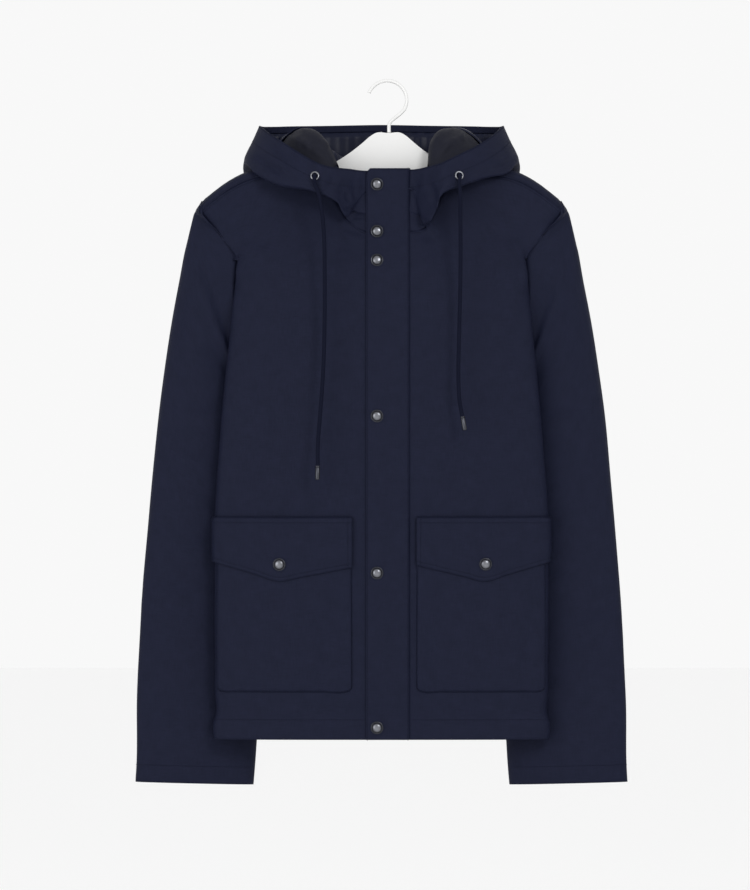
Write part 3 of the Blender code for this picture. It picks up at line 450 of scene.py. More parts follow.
# %% [markdown]
# ## Creases
#
# The cloth hangs almost smooth. What life it has comes from a few long shallow creases at the
# armholes and elbows, tight ones where the collar folds, and small ripples beside each row of
# stitches, where the thread draws the cloth up. Each crease is a line from one place to another
# with its own depth and width. It counts only on the side it faces, so that front and back differ.
# %% Crease tables
# Columns: start, end (each across, down), depth, width
FRONT_CREASES = (
    ((-196, -176), (-118, -196), 1.3, 7),
    ((-186, -196), (-128, -246), 1.0, 9),
    ((-178, -232), (-150, -300), 0.9, 8),
    ((-36, -184), (-92, -262), 1.1, 10),
    ((-60, -470), (-84, -518), 0.8, 9),
    ((-176, -610), (-168, -716), 0.7, 8),
    ((-64, -628), (-58, -724), 0.7, 9),
    ((-43, -177), (-17, -186), 1.2, 4),
    ((196, -174), (112, -190), 1.2, 8),
    ((188, -200), (136, -262), 1.1, 8),
    ((176, -240), (158, -322), 0.8, 9),
    ((60, -190), (104, -240), 0.9, 9),
    ((70, -446), (96, -516), 0.8, 10),
    ((176, -622), (170, -708), 0.8, 8),
    ((66, -640), (58, -722), 0.6, 8),
    ((46, -184), (66, -192), 1.0, 5),
)
BACK_CREASES = (
    ((-190, -230), (-96, -300), 1.8, 10),
    ((-182, -290), (-120, -352), 1.6, 9),
    ((-176, -380), (-60, -420), 1.2, 13),
    ((-150, -520), (-120, -690), 1.3, 12),
    ((188, -222), (110, -312), 1.7, 10),
    ((180, -300), (112, -346), 1.5, 8),
    ((172, -396), (40, -440), 1.3, 12),
    ((140, -540), (116, -720), 1.2, 12),
    ((-20, -560), (8, -740), 1.0, 14),
)
SLEEVE_CREASES = (
    ((-172, -352), (-236, -322), 1.3, 8),
    ((-166, -392), (-246, -398), 1.0, 9),
    ((-150, -520), (-214, -502), 1.4, 8),
    ((-150, -566), (-238, -560), 1.5, 9),
    ((-286, -610), (-206, -632), 1.0, 9),
    ((-160, -690), (-214, -676), 1.1, 8),
    ((-290, -786), (-236, -776), 0.8, 7),
    ((-226, -186), (-212, -262), 1.0, 8),
    ((172, -358), (230, -330), 1.2, 8),
    ((168, -408), (250, -410), 1.0, 9),
    ((150, -540), (226, -516), 1.5, 9),
    ((152, -590), (232, -592), 1.3, 8),
    ((288, -650), (214, -664), 1.1, 9),
    ((158, -734), (220, -722), 1.0, 8),
    ((226, -190), (216, -250), 0.9, 8),
)
HOOD_CREASES = (
    ((-151, -92), (-113, -119), 2.4, 5),
    ((-128, -80), (-106, -98), 1.0, 5),
    ((-44, -155), (-30, -154), 1.6, 2.6),
    ((-35, -163), (-16, -164), 1.8, 2.8),
    ((-42, -134), (-38, -147), 1.5, 2.4),
    ((-66, -134), (-52, -112), 1.2, 4),
    ((-33, -118), (-27, -150), 0.9, 4),
    ((-22, -112), (-20, -150), 0.7, 3),
    ((163, -93), (128, -108), 2.2, 5),
    ((120, -84), (104, -102), 0.9, 5),
    ((49, -168), (61, -177), 1.8, 3),
    ((42, -118), (40, -158), 0.9, 3.5),
    ((56, -120), (64, -150), 1.4, 4),
    ((74, -112), (66, -134), 1.0, 4),
)
HOOD_BACK_CREASES = (
    ((-150, -120), (-96, -168), 2.2, 9),
    ((-132, -176), (-70, -210), 1.8, 9),
    ((-60, -262), (-24, -196), 1.4, 10),
    ((-104, -70), (-40, -88), 1.2, 10),
    ((148, -116), (88, -150), 2.0, 9),
    ((126, -186), (62, -222), 1.7, 8),
    ((52, -268), (20, -210), 1.3, 9),
    ((96, -74), (30, -84), 1.1, 10),
)
LINING_CREASES = (
    ((-112, -64), (-64, -98), 2.4, 4.5),
    ((-97, -54), (-86, -84), 2.0, 3.6),
    ((-84, -60), (-72, -92), 1.5, 3.2),
    ((-76, -66), (-60, -80), 1.3, 3),
    ((-104, -58), (-98, -72), 1.4, 3),
    ((-70, -78), (-58, -100), 1.2, 3),
    ((102, -62), (62, -94), 2.3, 4.5),
    ((88, -54), (74, -84), 1.9, 3.6),
    ((74, -62), (62, -88), 1.5, 3.2),
    ((68, -64), (58, -80), 1.2, 3),
    ((96, -60), (100, -74), 1.3, 3),
)


# %% Moving the points
def crease_depth(grid, creases):
    """How far in each point goes: a soft trough along each line with a low ridge on both sides."""
    across, down = grid[..., 0], grid[..., 2]
    depth = np.zeros(across.shape)
    for start, end, deep, wide in creases:
        start, end = np.array(start, float), np.array(end, float)
        length = np.linalg.norm(end - start)
        way = (end - start) / length
        along = ((across - start[0]) * way[0] + (down - start[1]) * way[1]) / length
        bow = 0.05 * length * (1 if deep * 10 % 2 else -1)
        bend = bow * np.sin(np.clip(along, 0, 1) * math.pi)
        off = np.abs((across - start[0]) * way[1] - (down - start[1]) * way[0] - bend) / wide
        ends = smooth_step(along / 0.3 + 0.25) * smooth_step((1 - along) / 0.45 + 0.15)
        depth += deep * ends * (np.exp(-off**2) - 0.5 * np.exp(-((off - 1.9) ** 2)))
    return depth


def unevenness(grid):
    """Long shallow waves that no piece of hanging cloth is without, up to about half a millimetre."""
    across, down = grid[..., 0], grid[..., 2]
    waves = 0.24 * np.sin(across / 23 + 1.1 * np.sin(down / 61)) * np.sin(down / 47 + 0.6)
    waves += 0.20 * np.sin(across / 37 - down / 83 + 1.7) + 0.13 * np.sin(down / 19 + across / 71)
    return waves


def pucker(grid, edge, reach=7.0, height=0.35, pitch=11.0):
    """Ripples beside one edge, where the stitches draw the cloth up."""
    lines = from_edge(grid, edge)
    inward = way_in(lines)
    along = distances(lines[0])
    ripple = np.sin(2 * math.pi * along / pitch + 1.3 * np.sin(along / 31))
    ripple = ripple * (0.6 + 0.4 * np.sin(along / 43 + 1))
    wave = height * ripple * np.exp(-inward / reach) * np.minimum(inward / 1.5, 1)
    return turned_back(wave, edge)


def settle(grid, front=(), back=(), puckers=(), closed=False, wave=1.0):
    """Move a grid's points along their normals: waves, creases on the side that each faces, and puckers."""
    normal = outward(grid, closed)
    faces_front = smooth_step(0.5 - normal[..., 1] * 2)
    out = wave * unevenness(grid)
    out -= crease_depth(grid, front) * faces_front
    out -= crease_depth(grid, back) * (1 - faces_front)
    for edge in puckers:
        out = out + pucker(grid, edge)
    return grid + normal * out[..., None]


# %% Seam allowances
ALLOWANCE, TUCK = 5.0, 1.6


def allowance(grid, *edges):
    """Carry a piece on past its seam edges, turned a little inwards, so that no light comes through."""
    for edge in edges:
        normal = from_edge(outward(grid), edge)
        grid = from_edge(grid, edge)
        way = grid[0] - grid[1]
        way = way / np.linalg.norm(way, axis=1, keepdims=True)
        near = grid[0] + way * ALLOWANCE * 0.3 - normal[0] * TUCK * 0.7
        far = grid[0] + way * ALLOWANCE - normal[0] * TUCK * 1.6
        grid = turned_back(np.concatenate([[far, near], grid]), edge)
    return grid


# %% A piece of cloth
WALL = 1.1


def cloth(name, grid, wall=WALL, closed=False):
    """The mesh of one piece, with its own UV map in metres, and its wall on the inner side."""
    rows, columns = grid.shape[:2]
    spots = grid.reshape(-1, 3) + np.array([JACKET_X, 0, 0])
    ring = np.concatenate([grid, grid[:, :1]], axis=1) if closed else grid
    u = np.concatenate([[0], np.cumsum(np.linalg.norm(np.diff(ring, axis=1), axis=2).mean(axis=0))]) * MM
    v = np.concatenate([[0], np.cumsum(np.linalg.norm(np.diff(grid, axis=0), axis=2).mean(axis=1))]) * MM
    faces, marks = [], []
    for r in range(rows - 1):
        for c in range(columns if closed else columns - 1):
            nxt = (c + 1) % columns
            near, far = r * columns, (r + 1) * columns
            faces.append((near + c, near + nxt, far + nxt, far + c))
            marks.append(((u[c], v[r]), (u[c + 1], v[r]), (u[c + 1], v[r + 1]), (u[c], v[r + 1])))
    mesh = bpy.data.meshes.new(name)
    mesh.from_pydata((spots * MM).tolist(), [], faces)
    layer = mesh.uv_layers.new(name="cloth_metres")
    layer.data.foreach_set("uv", np.array(marks).ravel())
    mesh.shade_smooth()
    piece = add_piece(name, mesh)
    wall_of = piece.modifiers.new("wall", "SOLIDIFY")
    wall_of.thickness = wall * MM
    wall_of.offset = -1
    across, up = ring[:-1, 1:] - ring[:-1, :-1], ring[1:, :-1] - ring[:-1, :-1]
    area = np.linalg.norm(np.cross(across, up), axis=2).sum()
    print(f"{name}: {rows} x {columns} points, {area * 1e-6:.4f} square metres")
    return piece


# %% [markdown]
# ## Finishes
#
# The nylon is a dense plain weave with a faint mottle, the side lining is matt, and the satin across
# the back is smooth and shiny. One weave group serves all three: it reads the piece's own UV map in
# metres, so that the threads keep their size on every piece. A second group wears the metal caps,
# and the cords and thread too. What is the same all over is set on the shader's own sockets.
# %% Node helpers
def add_node(tree, kind, place=(0, 0), **values):
    made = tree.nodes.new(kind)
    made.location = place
    for key, value in values.items():
        if key in made.inputs:
            made.inputs[key].default_value = value
        else:
            setattr(made, key, value)
    return made


def maths(tree, operation, first, second):
    made = tree.nodes.new("ShaderNodeMath")
    made.operation = operation
    for socket, value in zip(made.inputs, (first, second)):
        if isinstance(value, (int, float)):
            socket.default_value = value
        else:
            tree.links.new(value, socket)
    return made.outputs[0]


def two_tone(tree, first, second, share, shader):
    """The shader's colour, mixed from two by a share."""
    shade = add_node(tree, "ShaderNodeMix", (-450, 150), data_type="RGBA")
    for socket in shade.inputs:
        if socket.type == "RGBA":
            socket.default_value = (*(first if socket.name == "A" else second), 1)
    tree.links.new(share, shade.inputs[0])
    colour = [socket for socket in shade.outputs if socket.type == "RGBA"][0]
    tree.links.new(colour, shader.inputs["Base Color"])


def raised(tree, height, strength, distance, shader):
    """A bump on the shader from a height."""
    lifted = add_node(tree, "ShaderNodeBump", (-300, -200), Strength=strength, Distance=distance)
    tree.links.new(height, lifted.inputs["Height"])
    tree.links.new(lifted.outputs[0], shader.inputs["Normal"])


# %% The weave group
def weave_group():
    tree = bpy.data.node_groups.new("cloth_weave", "ShaderNodeTree")
    for name, value in (("Threads per Metre", 1500.0), ("Mottle Scale", 60.0), ("Slub", 0.5)):
        socket = tree.interface.new_socket(name, in_out="INPUT", socket_type="NodeSocketFloat")
        socket.default_value = value
    for name in ("Tone", "Height"):
        tree.interface.new_socket(name, in_out="OUTPUT", socket_type="NodeSocketFloat")
    inside = add_node(tree, "NodeGroupInput", (-1100, 0))
    outside = add_node(tree, "NodeGroupOutput", (500, 0))
    flat = add_node(tree, "ShaderNodeUVMap", (-1100, 300), uv_map="cloth_metres")
    parts = add_node(tree, "ShaderNodeSeparateXYZ", (-900, 300))
    tree.links.new(flat.outputs[0], parts.inputs[0])
    threads = maths(tree, "MULTIPLY", inside.outputs["Threads per Metre"], 2 * math.pi)
    warp = maths(tree, "SINE", maths(tree, "MULTIPLY", parts.outputs[0], threads), 0)
    weft = maths(tree, "SINE", maths(tree, "MULTIPLY", parts.outputs[1], threads), 0)
    crossing = maths(tree, "MULTIPLY", warp, weft)
    slubs = []
    for stretch in ((420, 36, 1), (36, 420, 1)):
        turned_map = add_node(tree, "ShaderNodeMapping", (-700, -100), Scale=stretch)
        tree.links.new(flat.outputs[0], turned_map.inputs["Vector"])
        slub = add_node(tree, "ShaderNodeTexNoise", (-500, -100), Scale=2.0, Detail=2.0)
        tree.links.new(turned_map.outputs[0], slub.inputs["Vector"])
        slubs.append(slub.outputs[0])
    drawn = maths(tree, "MULTIPLY", maths(tree, "ADD", slubs[0], slubs[1]), inside.outputs["Slub"])
    mottle = add_node(tree, "ShaderNodeTexNoise", (-500, -400), Detail=4.0, Roughness=0.6)
    tree.links.new(flat.outputs[0], mottle.inputs["Vector"])
    tree.links.new(inside.outputs["Mottle Scale"], mottle.inputs["Scale"])
    tone = maths(tree, "ADD", drawn, maths(tree, "MULTIPLY", mottle.outputs[0], 0.55))
    tree.links.new(maths(tree, "SUBTRACT", tone, 0.28), outside.inputs["Tone"])
    relief = maths(tree, "ADD", maths(tree, "MULTIPLY", crossing, 0.5), drawn)
    tree.links.new(relief, outside.inputs["Height"])
    return tree


WEAVE = weave_group()
print("weave inputs:", [item.name for item in WEAVE.interface.items_tree if item.in_out == "INPUT"])


# %% Cloth finishes
WEAVE_RELIEF, GRAIN_RELIEF = 0.0004, 0.0003    # metres


def woven(name, dark, light, rough, bump, threads=1500.0, mottle=60.0, slub=0.5, gloss=0.085):
    """A woven finish: two shades mixed by the weave's tone, and its height as a bump."""
    finish = bpy.data.materials.new(name)
    finish.use_nodes = True
    tree = finish.node_tree
    shader = tree.nodes["Principled BSDF"]
    weave = add_node(tree, "ShaderNodeGroup", (-700, 0), node_tree=WEAVE)
    for key, value in (("Threads per Metre", threads), ("Mottle Scale", mottle), ("Slub", slub)):
        weave.inputs[key].default_value = value
    two_tone(tree, dark, light, weave.outputs["Tone"], shader)
    raised(tree, weave.outputs["Height"], bump, WEAVE_RELIEF, shader)
    shader.inputs["Roughness"].default_value = rough
    shader.inputs["Specular IOR Level"].default_value = gloss
    return finish


FINISH = {
    "nylon": woven("navy_nylon", (0.0026, 0.0040, 0.0120), (0.0082, 0.0100, 0.0255), 0.62, 0.34, slub=0.62),
    # The side lining is the navy satin of the back; its lighter grey colour paints the satin's sheen, and it is matt.
    "painted_sheen_lining": woven("side_lining_painted_sheen", (0.0050, 0.0056, 0.0105), (0.0125, 0.0132, 0.0215), 0.55, 0.25, 1900.0),
    "satin": woven("back_satin", (0.0040, 0.0055, 0.0170), (0.0070, 0.0095, 0.0280), 0.38, 0.08,
                   2600.0, 30.0, 0.2, gloss=0.12),
}
print("cloth finishes:", ", ".join(FINISH))


# %% Cord, metal and hanger finishes
def plain_finish(name, colour, rough, metal, grain_scale, bump, far_rough=None, dark=None, gloss=0.5):
    """A smooth finish whose roughness wanders a little, with an optional painted shade: a dark colour mixed in by a
    shade attribute on the mesh.
    """
    finish = bpy.data.materials.new(name)
    finish.use_nodes = True
    tree = finish.node_tree
    shader = tree.nodes["Principled BSDF"]
    place = add_node(tree, "ShaderNodeTexCoord", (-1000, 0))
    grain = add_node(tree, "ShaderNodeTexNoise", (-800, 0), Scale=grain_scale, Detail=5.0)
    tree.links.new(place.outputs["Object"], grain.inputs["Vector"])
    spread = add_node(tree, "ShaderNodeMapRange", (-500, -100))
    spread.inputs["To Min"].default_value = rough
    spread.inputs["To Max"].default_value = far_rough or rough + 0.12
    tree.links.new(grain.outputs[0], spread.inputs["Value"])
    tree.links.new(spread.outputs[0], shader.inputs["Roughness"])
    raised(tree, grain.outputs[0], bump, GRAIN_RELIEF, shader)
    shader.inputs["Base Color"].default_value = (*colour, 1)
    shader.inputs["Metallic"].default_value = metal
    shader.inputs["Specular IOR Level"].default_value = gloss
    if dark:
        # Painted shade: the mesh's shade attribute, with a little of the grain's random tone, mixes in the dark
        # colour.
        painted_shade_input = add_node(tree, "ShaderNodeAttribute", (-800, 300), attribute_name="painted_shade")
        shade_and_grain = maths(tree, "ADD", painted_shade_input.outputs["Fac"], maths(tree, "MULTIPLY", grain.outputs[0], 0.25))
        two_tone(tree, colour, dark, maths(tree, "SUBTRACT", shade_and_grain, 0.12), shader)
    return finish


# Painted shade: this dark colour goes into the snaps, eyelets and cord tips where their profiles say. It darkens
# grooves, rims, the eyelets' holes and the tips' ends, where shade falls, and fades to none on top of the snaps'
# domes, which paints their shading and highlight.
PAINTED_SHADE_COLOUR = (0.012, 0.013, 0.018)
FINISH["snap"] = plain_finish("silver_with_painted_shade", (0.20, 0.205, 0.225), 0.24, 1.0, 900.0, 0.12, 0.36, PAINTED_SHADE_COLOUR)
FINISH["tip"] = plain_finish("dark_metal_tip", (0.055, 0.057, 0.066), 0.3, 1.0, 900.0, 0.1, 0.4, PAINTED_SHADE_COLOUR)
FINISH["cord"] = plain_finish("braided_cord", (0.0040, 0.0050, 0.0130), 0.7, 0.0, 2500.0, 0.4, 0.85,
                              gloss=0.05)
FINISH["thread"] = plain_finish("navy_thread", (0.0040, 0.0052, 0.0135), 0.6, 0.0, 3000.0, 0.2, 0.7,
                                gloss=0.07)
FINISH["hanger"] = plain_finish("white_moulding", (0.62, 0.62, 0.615), 0.32, 0.0, 160.0, 0.03, 0.42)
FINISH["hook"] = plain_finish("white_coated_wire", (0.62, 0.62, 0.615), 0.25, 0.0, 240.0, 0.03, 0.36)
print("finishes:", len(FINISH))


def dress(piece, finish, node):
    piece.name = node + "_fine"
    piece.data.materials.clear()
    piece.data.materials.append(FINISH[finish])
    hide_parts(node)
    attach(piece, "root")
    return piece


# %% [markdown]
# ## Body of the jacket
#
# Two fronts and a back, joined over the shoulders and at the sides. Above the chest the cloth runs
# up and over the hanger's ridge, and below it the section flattens, fuller in the middle.
# %% Shape of the body
def over_ridge(x, turn, depth, lean, sign):
    """A point at x, turned round the ridge: over the top, then down the front (sign -1) or the back (+1).

    depth is how far the panel stands beyond its edge, and lean runs from 1 at the centre to 0 at the side.
    """
    on_arc = np.minimum(turn, math.pi / 2)
    below = SHOULDER_ROUND * np.where(turn < math.pi / 2, 1 - np.cos(on_arc), 1 + (turn - math.pi / 2))
    y = SHOULDER_ROUND * np.sin(on_arc) + depth * lean * smooth_step(below / BULGE_REACH)
    return np.stack([x, sign * y, ridge_z(np.abs(x)) - below], axis=-1)


def turn_at(x, z):
    """How far round the ridge a point at height z lies."""
    below = ridge_z(np.abs(x)) - z
    share = np.clip(below / SHOULDER_ROUND, 0, 1)
    return np.where(below < SHOULDER_ROUND, np.arccos(1 - share), math.pi / 2 + below / SHOULDER_ROUND - 1)


def lower_body(angle, z, side):
    """The body below the yoke: angle 0 is the centre front, 90 degrees the side fold, 180 the centre back."""
    sine = np.abs(np.sin(angle)) ** SECTION_POWER
    cosine = power(np.cos(angle), SECTION_POWER)
    wide = half_width(z)
    x = BODY_HALF_WIDTH * sine + (wide - BODY_HALF_WIDTH) * sine**5
    bulge = front_bulge(z) * smooth_step((ridge_z(x) - z) / BULGE_REACH)
    front = side_y(z) - bulge * np.maximum(cosine, 0)
    back = side_y(z) + (back_depth(z) - side_y(z)) * np.minimum(cosine, 0) ** 2
    return np.stack([side * x, np.where(cosine > 0, front, back), z + 0 * x], axis=-1)


def angle_at(x):
    """The section angle of a place across the body's front."""
    return math.asin(min(1.0, abs(x) / BODY_HALF_WIDTH) ** (1 / SECTION_POWER))


def front_neck(side):
    knots = np.array(NECK[side], float)
    return curve_through(np.arange(len(knots)), knots)


def front_point(x, z):
    """A point on the front panel's outer face at a place across and down."""
    x = np.asarray(x, float)
    z = np.asarray(z, float)
    sine = np.clip(np.abs(x) / BODY_HALF_WIDTH, 0, 1)
    lean = (1 - sine ** (2 / SECTION_POWER)) ** (SECTION_POWER / 2)
    high = over_ridge(x, turn_at(x, z), front_bulge(YOKE_Z), lean, -1)
    low_y = side_y(z) - front_bulge(z) * smooth_step((ridge_z(np.abs(x)) - z) / BULGE_REACH) * lean
    y = np.where(z > YOKE_Z, high[..., 1], low_y)
    return np.stack([x + 0 * z, y, z + 0 * x], axis=-1)


# %% Front panels
def front_columns(side):
    """Section angles of the front's columns, with one at each edge that a pocket or the placket needs."""
    pocket = POCKETS[side]
    flap_tip = abs(pocket["snap"][0])
    placket = PLACKET_LEFT if side == "left" else PLACKET_RIGHT
    marks = (CENTRE_X, placket, pocket["inner"], 72.0, 98.0, flap_tip, 150.0, 175.0, 190.0, pocket["outer"])
    angles = [angle_at(x) for x in marks] + [math.radians(90), math.radians(98), SIDE_SEAM]
    if side == "left":
        angles[0] = -angles[0]
    return np.array(angles)


def armhole_turn(z):
    """Angle of the front's edge: the side seam up to the armpit, then the armhole coming round to the fold."""
    if z < ARMPIT_Z:
        climbed = float(smooth_step((z - HEM_Z) / (ARMPIT_Z - HEM_Z)))
        return SIDE_SEAM + (ARMPIT_TURN - SIDE_SEAM) * climbed
    return ARMPIT_TURN + (math.pi / 2 - ARMPIT_TURN) * (z - ARMPIT_Z) / (YOKE_Z - ARMPIT_Z)


def body_row(angles, z, side):
    """One row of the front: the columns near the side close up or spread to end on the panel's edge."""
    loose = angles > LOOSE_FROM
    spread = (armhole_turn(z) - LOOSE_FROM) / (SIDE_SEAM - LOOSE_FROM)
    placed = np.where(loose, LOOSE_FROM + (angles - LOOSE_FROM) * spread, angles)
    return lower_body(placed, z, side)


def front_top(side):
    """Where each column meets the neck or the shoulder seam: across and down."""
    sign = SIGN[side]
    neck = front_neck(side)(np.arange(NECK_COLUMNS))
    seam_x = np.array(SHOULDER_X[1:])
    seam_z = ridge_z(seam_x) - SHOULDER_ROUND * (1 - math.cos(SEAM_ROUND)) - SHOULDER_SEAM_DROP
    return np.concatenate([neck, np.stack([sign * seam_x, seam_z], axis=1)])


def front_grid(side):
    """Rows from the hem up to the yoke, then on to the neck and the shoulder seam."""
    sign = SIGN[side]
    angles = front_columns(side)
    rows = [body_row(angles, z, sign) for z in FRONT_ROWS_Z]
    base = rows[-1]
    top = front_top(side)
    seam = ARMHOLE_FRONT + ((abs(top[-1, 0]), top[-1, 1]),)
    arm = curve_through(np.linspace(0, 1, len(seam)), seam)
    full = front_bulge(YOKE_Z) * smooth_step((ridge_z(np.abs(base[:, 0])) - YOKE_Z) / BULGE_REACH)
    lean = np.clip((side_y(YOKE_Z) - base[:, 1]) / full, 0, 1)
    near_arm = smooth_step((np.linspace(0, 1, len(base)) - 0.5) / 0.5)
    for share in (0.2, 0.4, 0.6, 0.8, 1.0):
        across = base[:, 0] + (top[:, 0] - base[:, 0]) * share
        down = base[:, 2] + (top[:, 1] - base[:, 2]) * share
        edge_x, edge_z = arm(share)
        across = across + (sign * edge_x - across[-1]) * near_arm
        down = down + (edge_z - down[-1]) * near_arm
        rows.append(over_ridge(across, turn_at(across, down), front_bulge(YOKE_Z), lean, -1))
    grid = np.array(rows)
    grid[:, 0, 0] = CENTRE_X + sign * SEAM_GAP / 2
    return grid


# %% Back panel
def back_half():
    """Rows of the back's right half, from the hem up and over the ridge to the shoulder seam in front."""
    rows = []
    spread = np.array(BACK_SPREAD)
    neck_x, neck_z = np.array(BACK_NECK).T
    top_x = np.concatenate([neck_x, SHOULDER_X])
    end = np.concatenate([turn_at(neck_x, neck_z), np.full(len(SHOULDER_X), -SEAM_ROUND)])
    for z in BACK_ROWS_Z:
        edge = armhole_turn(z) + SIDE_SEAM_TURN
        rows.append(lower_body(math.pi - (math.pi - edge) * spread, z, 1))
    base = rows[-1]
    start = turn_at(base[:, 0], base[:, 2])
    lean = (base[:, 1] - base[-1, 1]) / (base[0, 1] - base[-1, 1])
    settled = base[:, 1] - over_ridge(base[:, 0], start, BACK_BULGE, lean, 1)[:, 1]
    arm = curve_through(BACK_ARMHOLE["share"], BACK_ARMHOLE["x"])
    for share in BACK_CLIMB:
        turn = start + (end - start) * share
        x = base[:, 0] + (top_x - base[:, 0]) * smooth_step(share)
        x[-1] = arm(share)
        sign = np.where(turn < 0, -1, 1)
        row = over_ridge(x, np.abs(turn), BACK_BULGE, lean, 1)
        row[:, 1] *= sign
        row[:, 1] += settled * (1 - smooth_step(share / 0.6))
        rows.append(row)
    return np.array(rows)


def clear_of_armhole(grid, first_row, edge):
    """Pull a panel's edge column in from the armhole seam, so that the sleeve starts clear of it."""
    grid = grid.copy()
    inner = 1 if edge == 0 else -2
    inward = grid[first_row:, inner] - grid[first_row:, edge]
    grid[first_row:, edge] += inward / np.linalg.norm(inward, axis=1, keepdims=True) * SLEEVE_GAP
    return grid


# %% Cut the fronts and the back
GRIDS = {}
half = back_half()
whole_back = np.concatenate([half[:, :0:-1] * np.array([-1, 1, 1]), half], axis=1)
for edge in (0, -1):
    whole_back = clear_of_armhole(whole_back, BACK_ROWS_Z.index(ARMPIT_Z), edge)
GRIDS["back"] = settle(refine(whole_back[:, ::-1], 5.0), (), BACK_CREASES, ("top",))
coarse_front = {side: front_grid(side) for side in SIGN}
for side, grid in coarse_front.items():
    fine = refine(clear_of_armhole(grid, FRONT_ROWS_Z.index(ARMPIT_Z), -1))
    fine = fine[:, ::-1] if side == "left" else fine
    GRIDS[f"front_{side}"] = settle(fine, FRONT_CREASES, (), ("top",))
SEAM_EDGES = {"back": ("left", "right"), "front_left": ("top", "left"), "front_right": ("top", "right")}
for name, edges in SEAM_EDGES.items():
    dress(cloth(name, allowance(GRIDS[name], *edges)), "nylon", name)

# %% [markdown]
# ## Sleeves
#
# Each sleeve is a flattened tube that starts at the armhole seam and hangs behind the body's edge.
# %% Sleeve rings
def resample(points, count):
    """The same number of steps along any seam."""
    length = distances(points)
    where = np.linspace(0, length[-1], count)
    return np.stack([np.interp(where, length, points[:, k]) for k in range(3)], axis=1)


def armhole_ring(side, front, half):
    """The armhole seam as a ring: from the shoulder tip down the front to the armpit and up the back."""
    sign = SIGN[side]
    armpit_row = FRONT_ROWS_Z.index(ARMPIT_Z)
    down_front = front[armpit_row:, -1][::-1]
    up_back = half[len(BACK_ROWS_Z) - 1:, -1] * np.array([sign, 1, 1])
    steps = SLEEVE_RING // 2 + 1
    return np.concatenate([resample(down_front, steps)[:-1], resample(up_back, steps)[:-1]])


def sleeve_grid(side, front, half):
    """Rings from the armhole down to the cuff."""
    sign = SIGN[side]
    seam = armhole_ring(side, front, half)
    rings = []
    turn = 2 * math.pi * np.arange(SLEEVE_RING) / SLEEVE_RING
    for row in SLEEVE:
        outer = np.array([row["outer"][0], row["outer_y"], row["outer"][1]])
        inner = np.array([row["inner"][0], row["inner_y"], row["inner"][1]])
        flat = min(1.0, 0.75 + 0.25 * row["thick"] / 56)
        along = power(np.cos(turn), flat)[:, None] * (outer - inner) / 2
        through = power(np.sin(turn), flat)[:, None] * np.array([0, -row["thick"] / 2, 0])
        rings.append(((outer + inner) / 2 + along + through) * np.array([sign, 1, 1]))
    step = rings[0] - seam
    first = seam + step / np.linalg.norm(step, axis=1, keepdims=True) * SLEEVE_GAP
    return np.array([first] + rings)


def sleeve_head(grid, full=3.0, reach=16.0):
    """The top of the sleeve eased out beside the shoulder, so that the outline runs on without a step."""
    away = np.linalg.norm(grid - grid[:1], axis=2)
    high = smooth_step((grid[..., 2] + 182) / 26)
    return grid + outward(grid, closed=True) * (full * high * np.exp(-((away / reach) ** 2)))[..., None]


def ring_allowance(grid):
    """The sleeve's first ring carried on past the armhole, and drawn a little inwards."""
    way = grid[0] - grid[1]
    way = way / np.linalg.norm(way, axis=1, keepdims=True)
    inward = grid[0].mean(axis=0) - grid[0]
    inward = inward / np.linalg.norm(inward, axis=1, keepdims=True)
    far = grid[0] + way * ALLOWANCE + inward * TUCK * 2
    near = grid[0] + way * 1.0 + inward * TUCK
    return np.concatenate([[far, near], grid])


for side in SIGN:
    fine = refine(sleeve_grid(side, coarse_front[side], half), 4.5, closed=True)
    fine = fine[:, ::-1] if side == "left" else fine
    name = f"sleeve_{side}"
    GRIDS[name] = sleeve_head(settle(fine, SLEEVE_CREASES, SLEEVE_CREASES[::-2], ("top",), closed=True))
    dress(cloth(name, ring_allowance(GRIDS[name]), closed=True), "nylon", name)

# %% [markdown]
# ## Hood
#
# The hood is folded down, so its cloth makes a Z all round the neck: up from the neck seam to a
# crest, down to a fold that lies outside the collar, and up again to the opening edge.
# %% Hood sections
def neck_point(side, at):
    """A point on the neck seam: section numbers 0 to 7 run over the front, 8 to 12 over the back."""
    sign = SIGN[side]
    if at <= 7:
        x, z = front_neck(side)(at)
        return front_point(x, z)
    back = np.array(BACK_NECK[::-1], float)
    x, z = curve_through(np.arange(8, 13), back)(max(at, 8.0))
    spot = over_ridge(np.array(sign * x), turn_at(np.array(x), z), BACK_BULGE, 1.0, 1)
    if at < 8:
        x7, z7 = front_neck(side)(7.0)
        return front_point(x7, z7) * (8 - at) + spot * (at - 7)
    return spot


def level_slope(step, share, least):
    """A level slope along a step, no shorter than the least, which keeps a fold from closing on itself."""
    flat = step * np.array([1, 1, 0])
    length = np.linalg.norm(flat)
    return flat / max(length, 1e-6) * max(length * share, least)


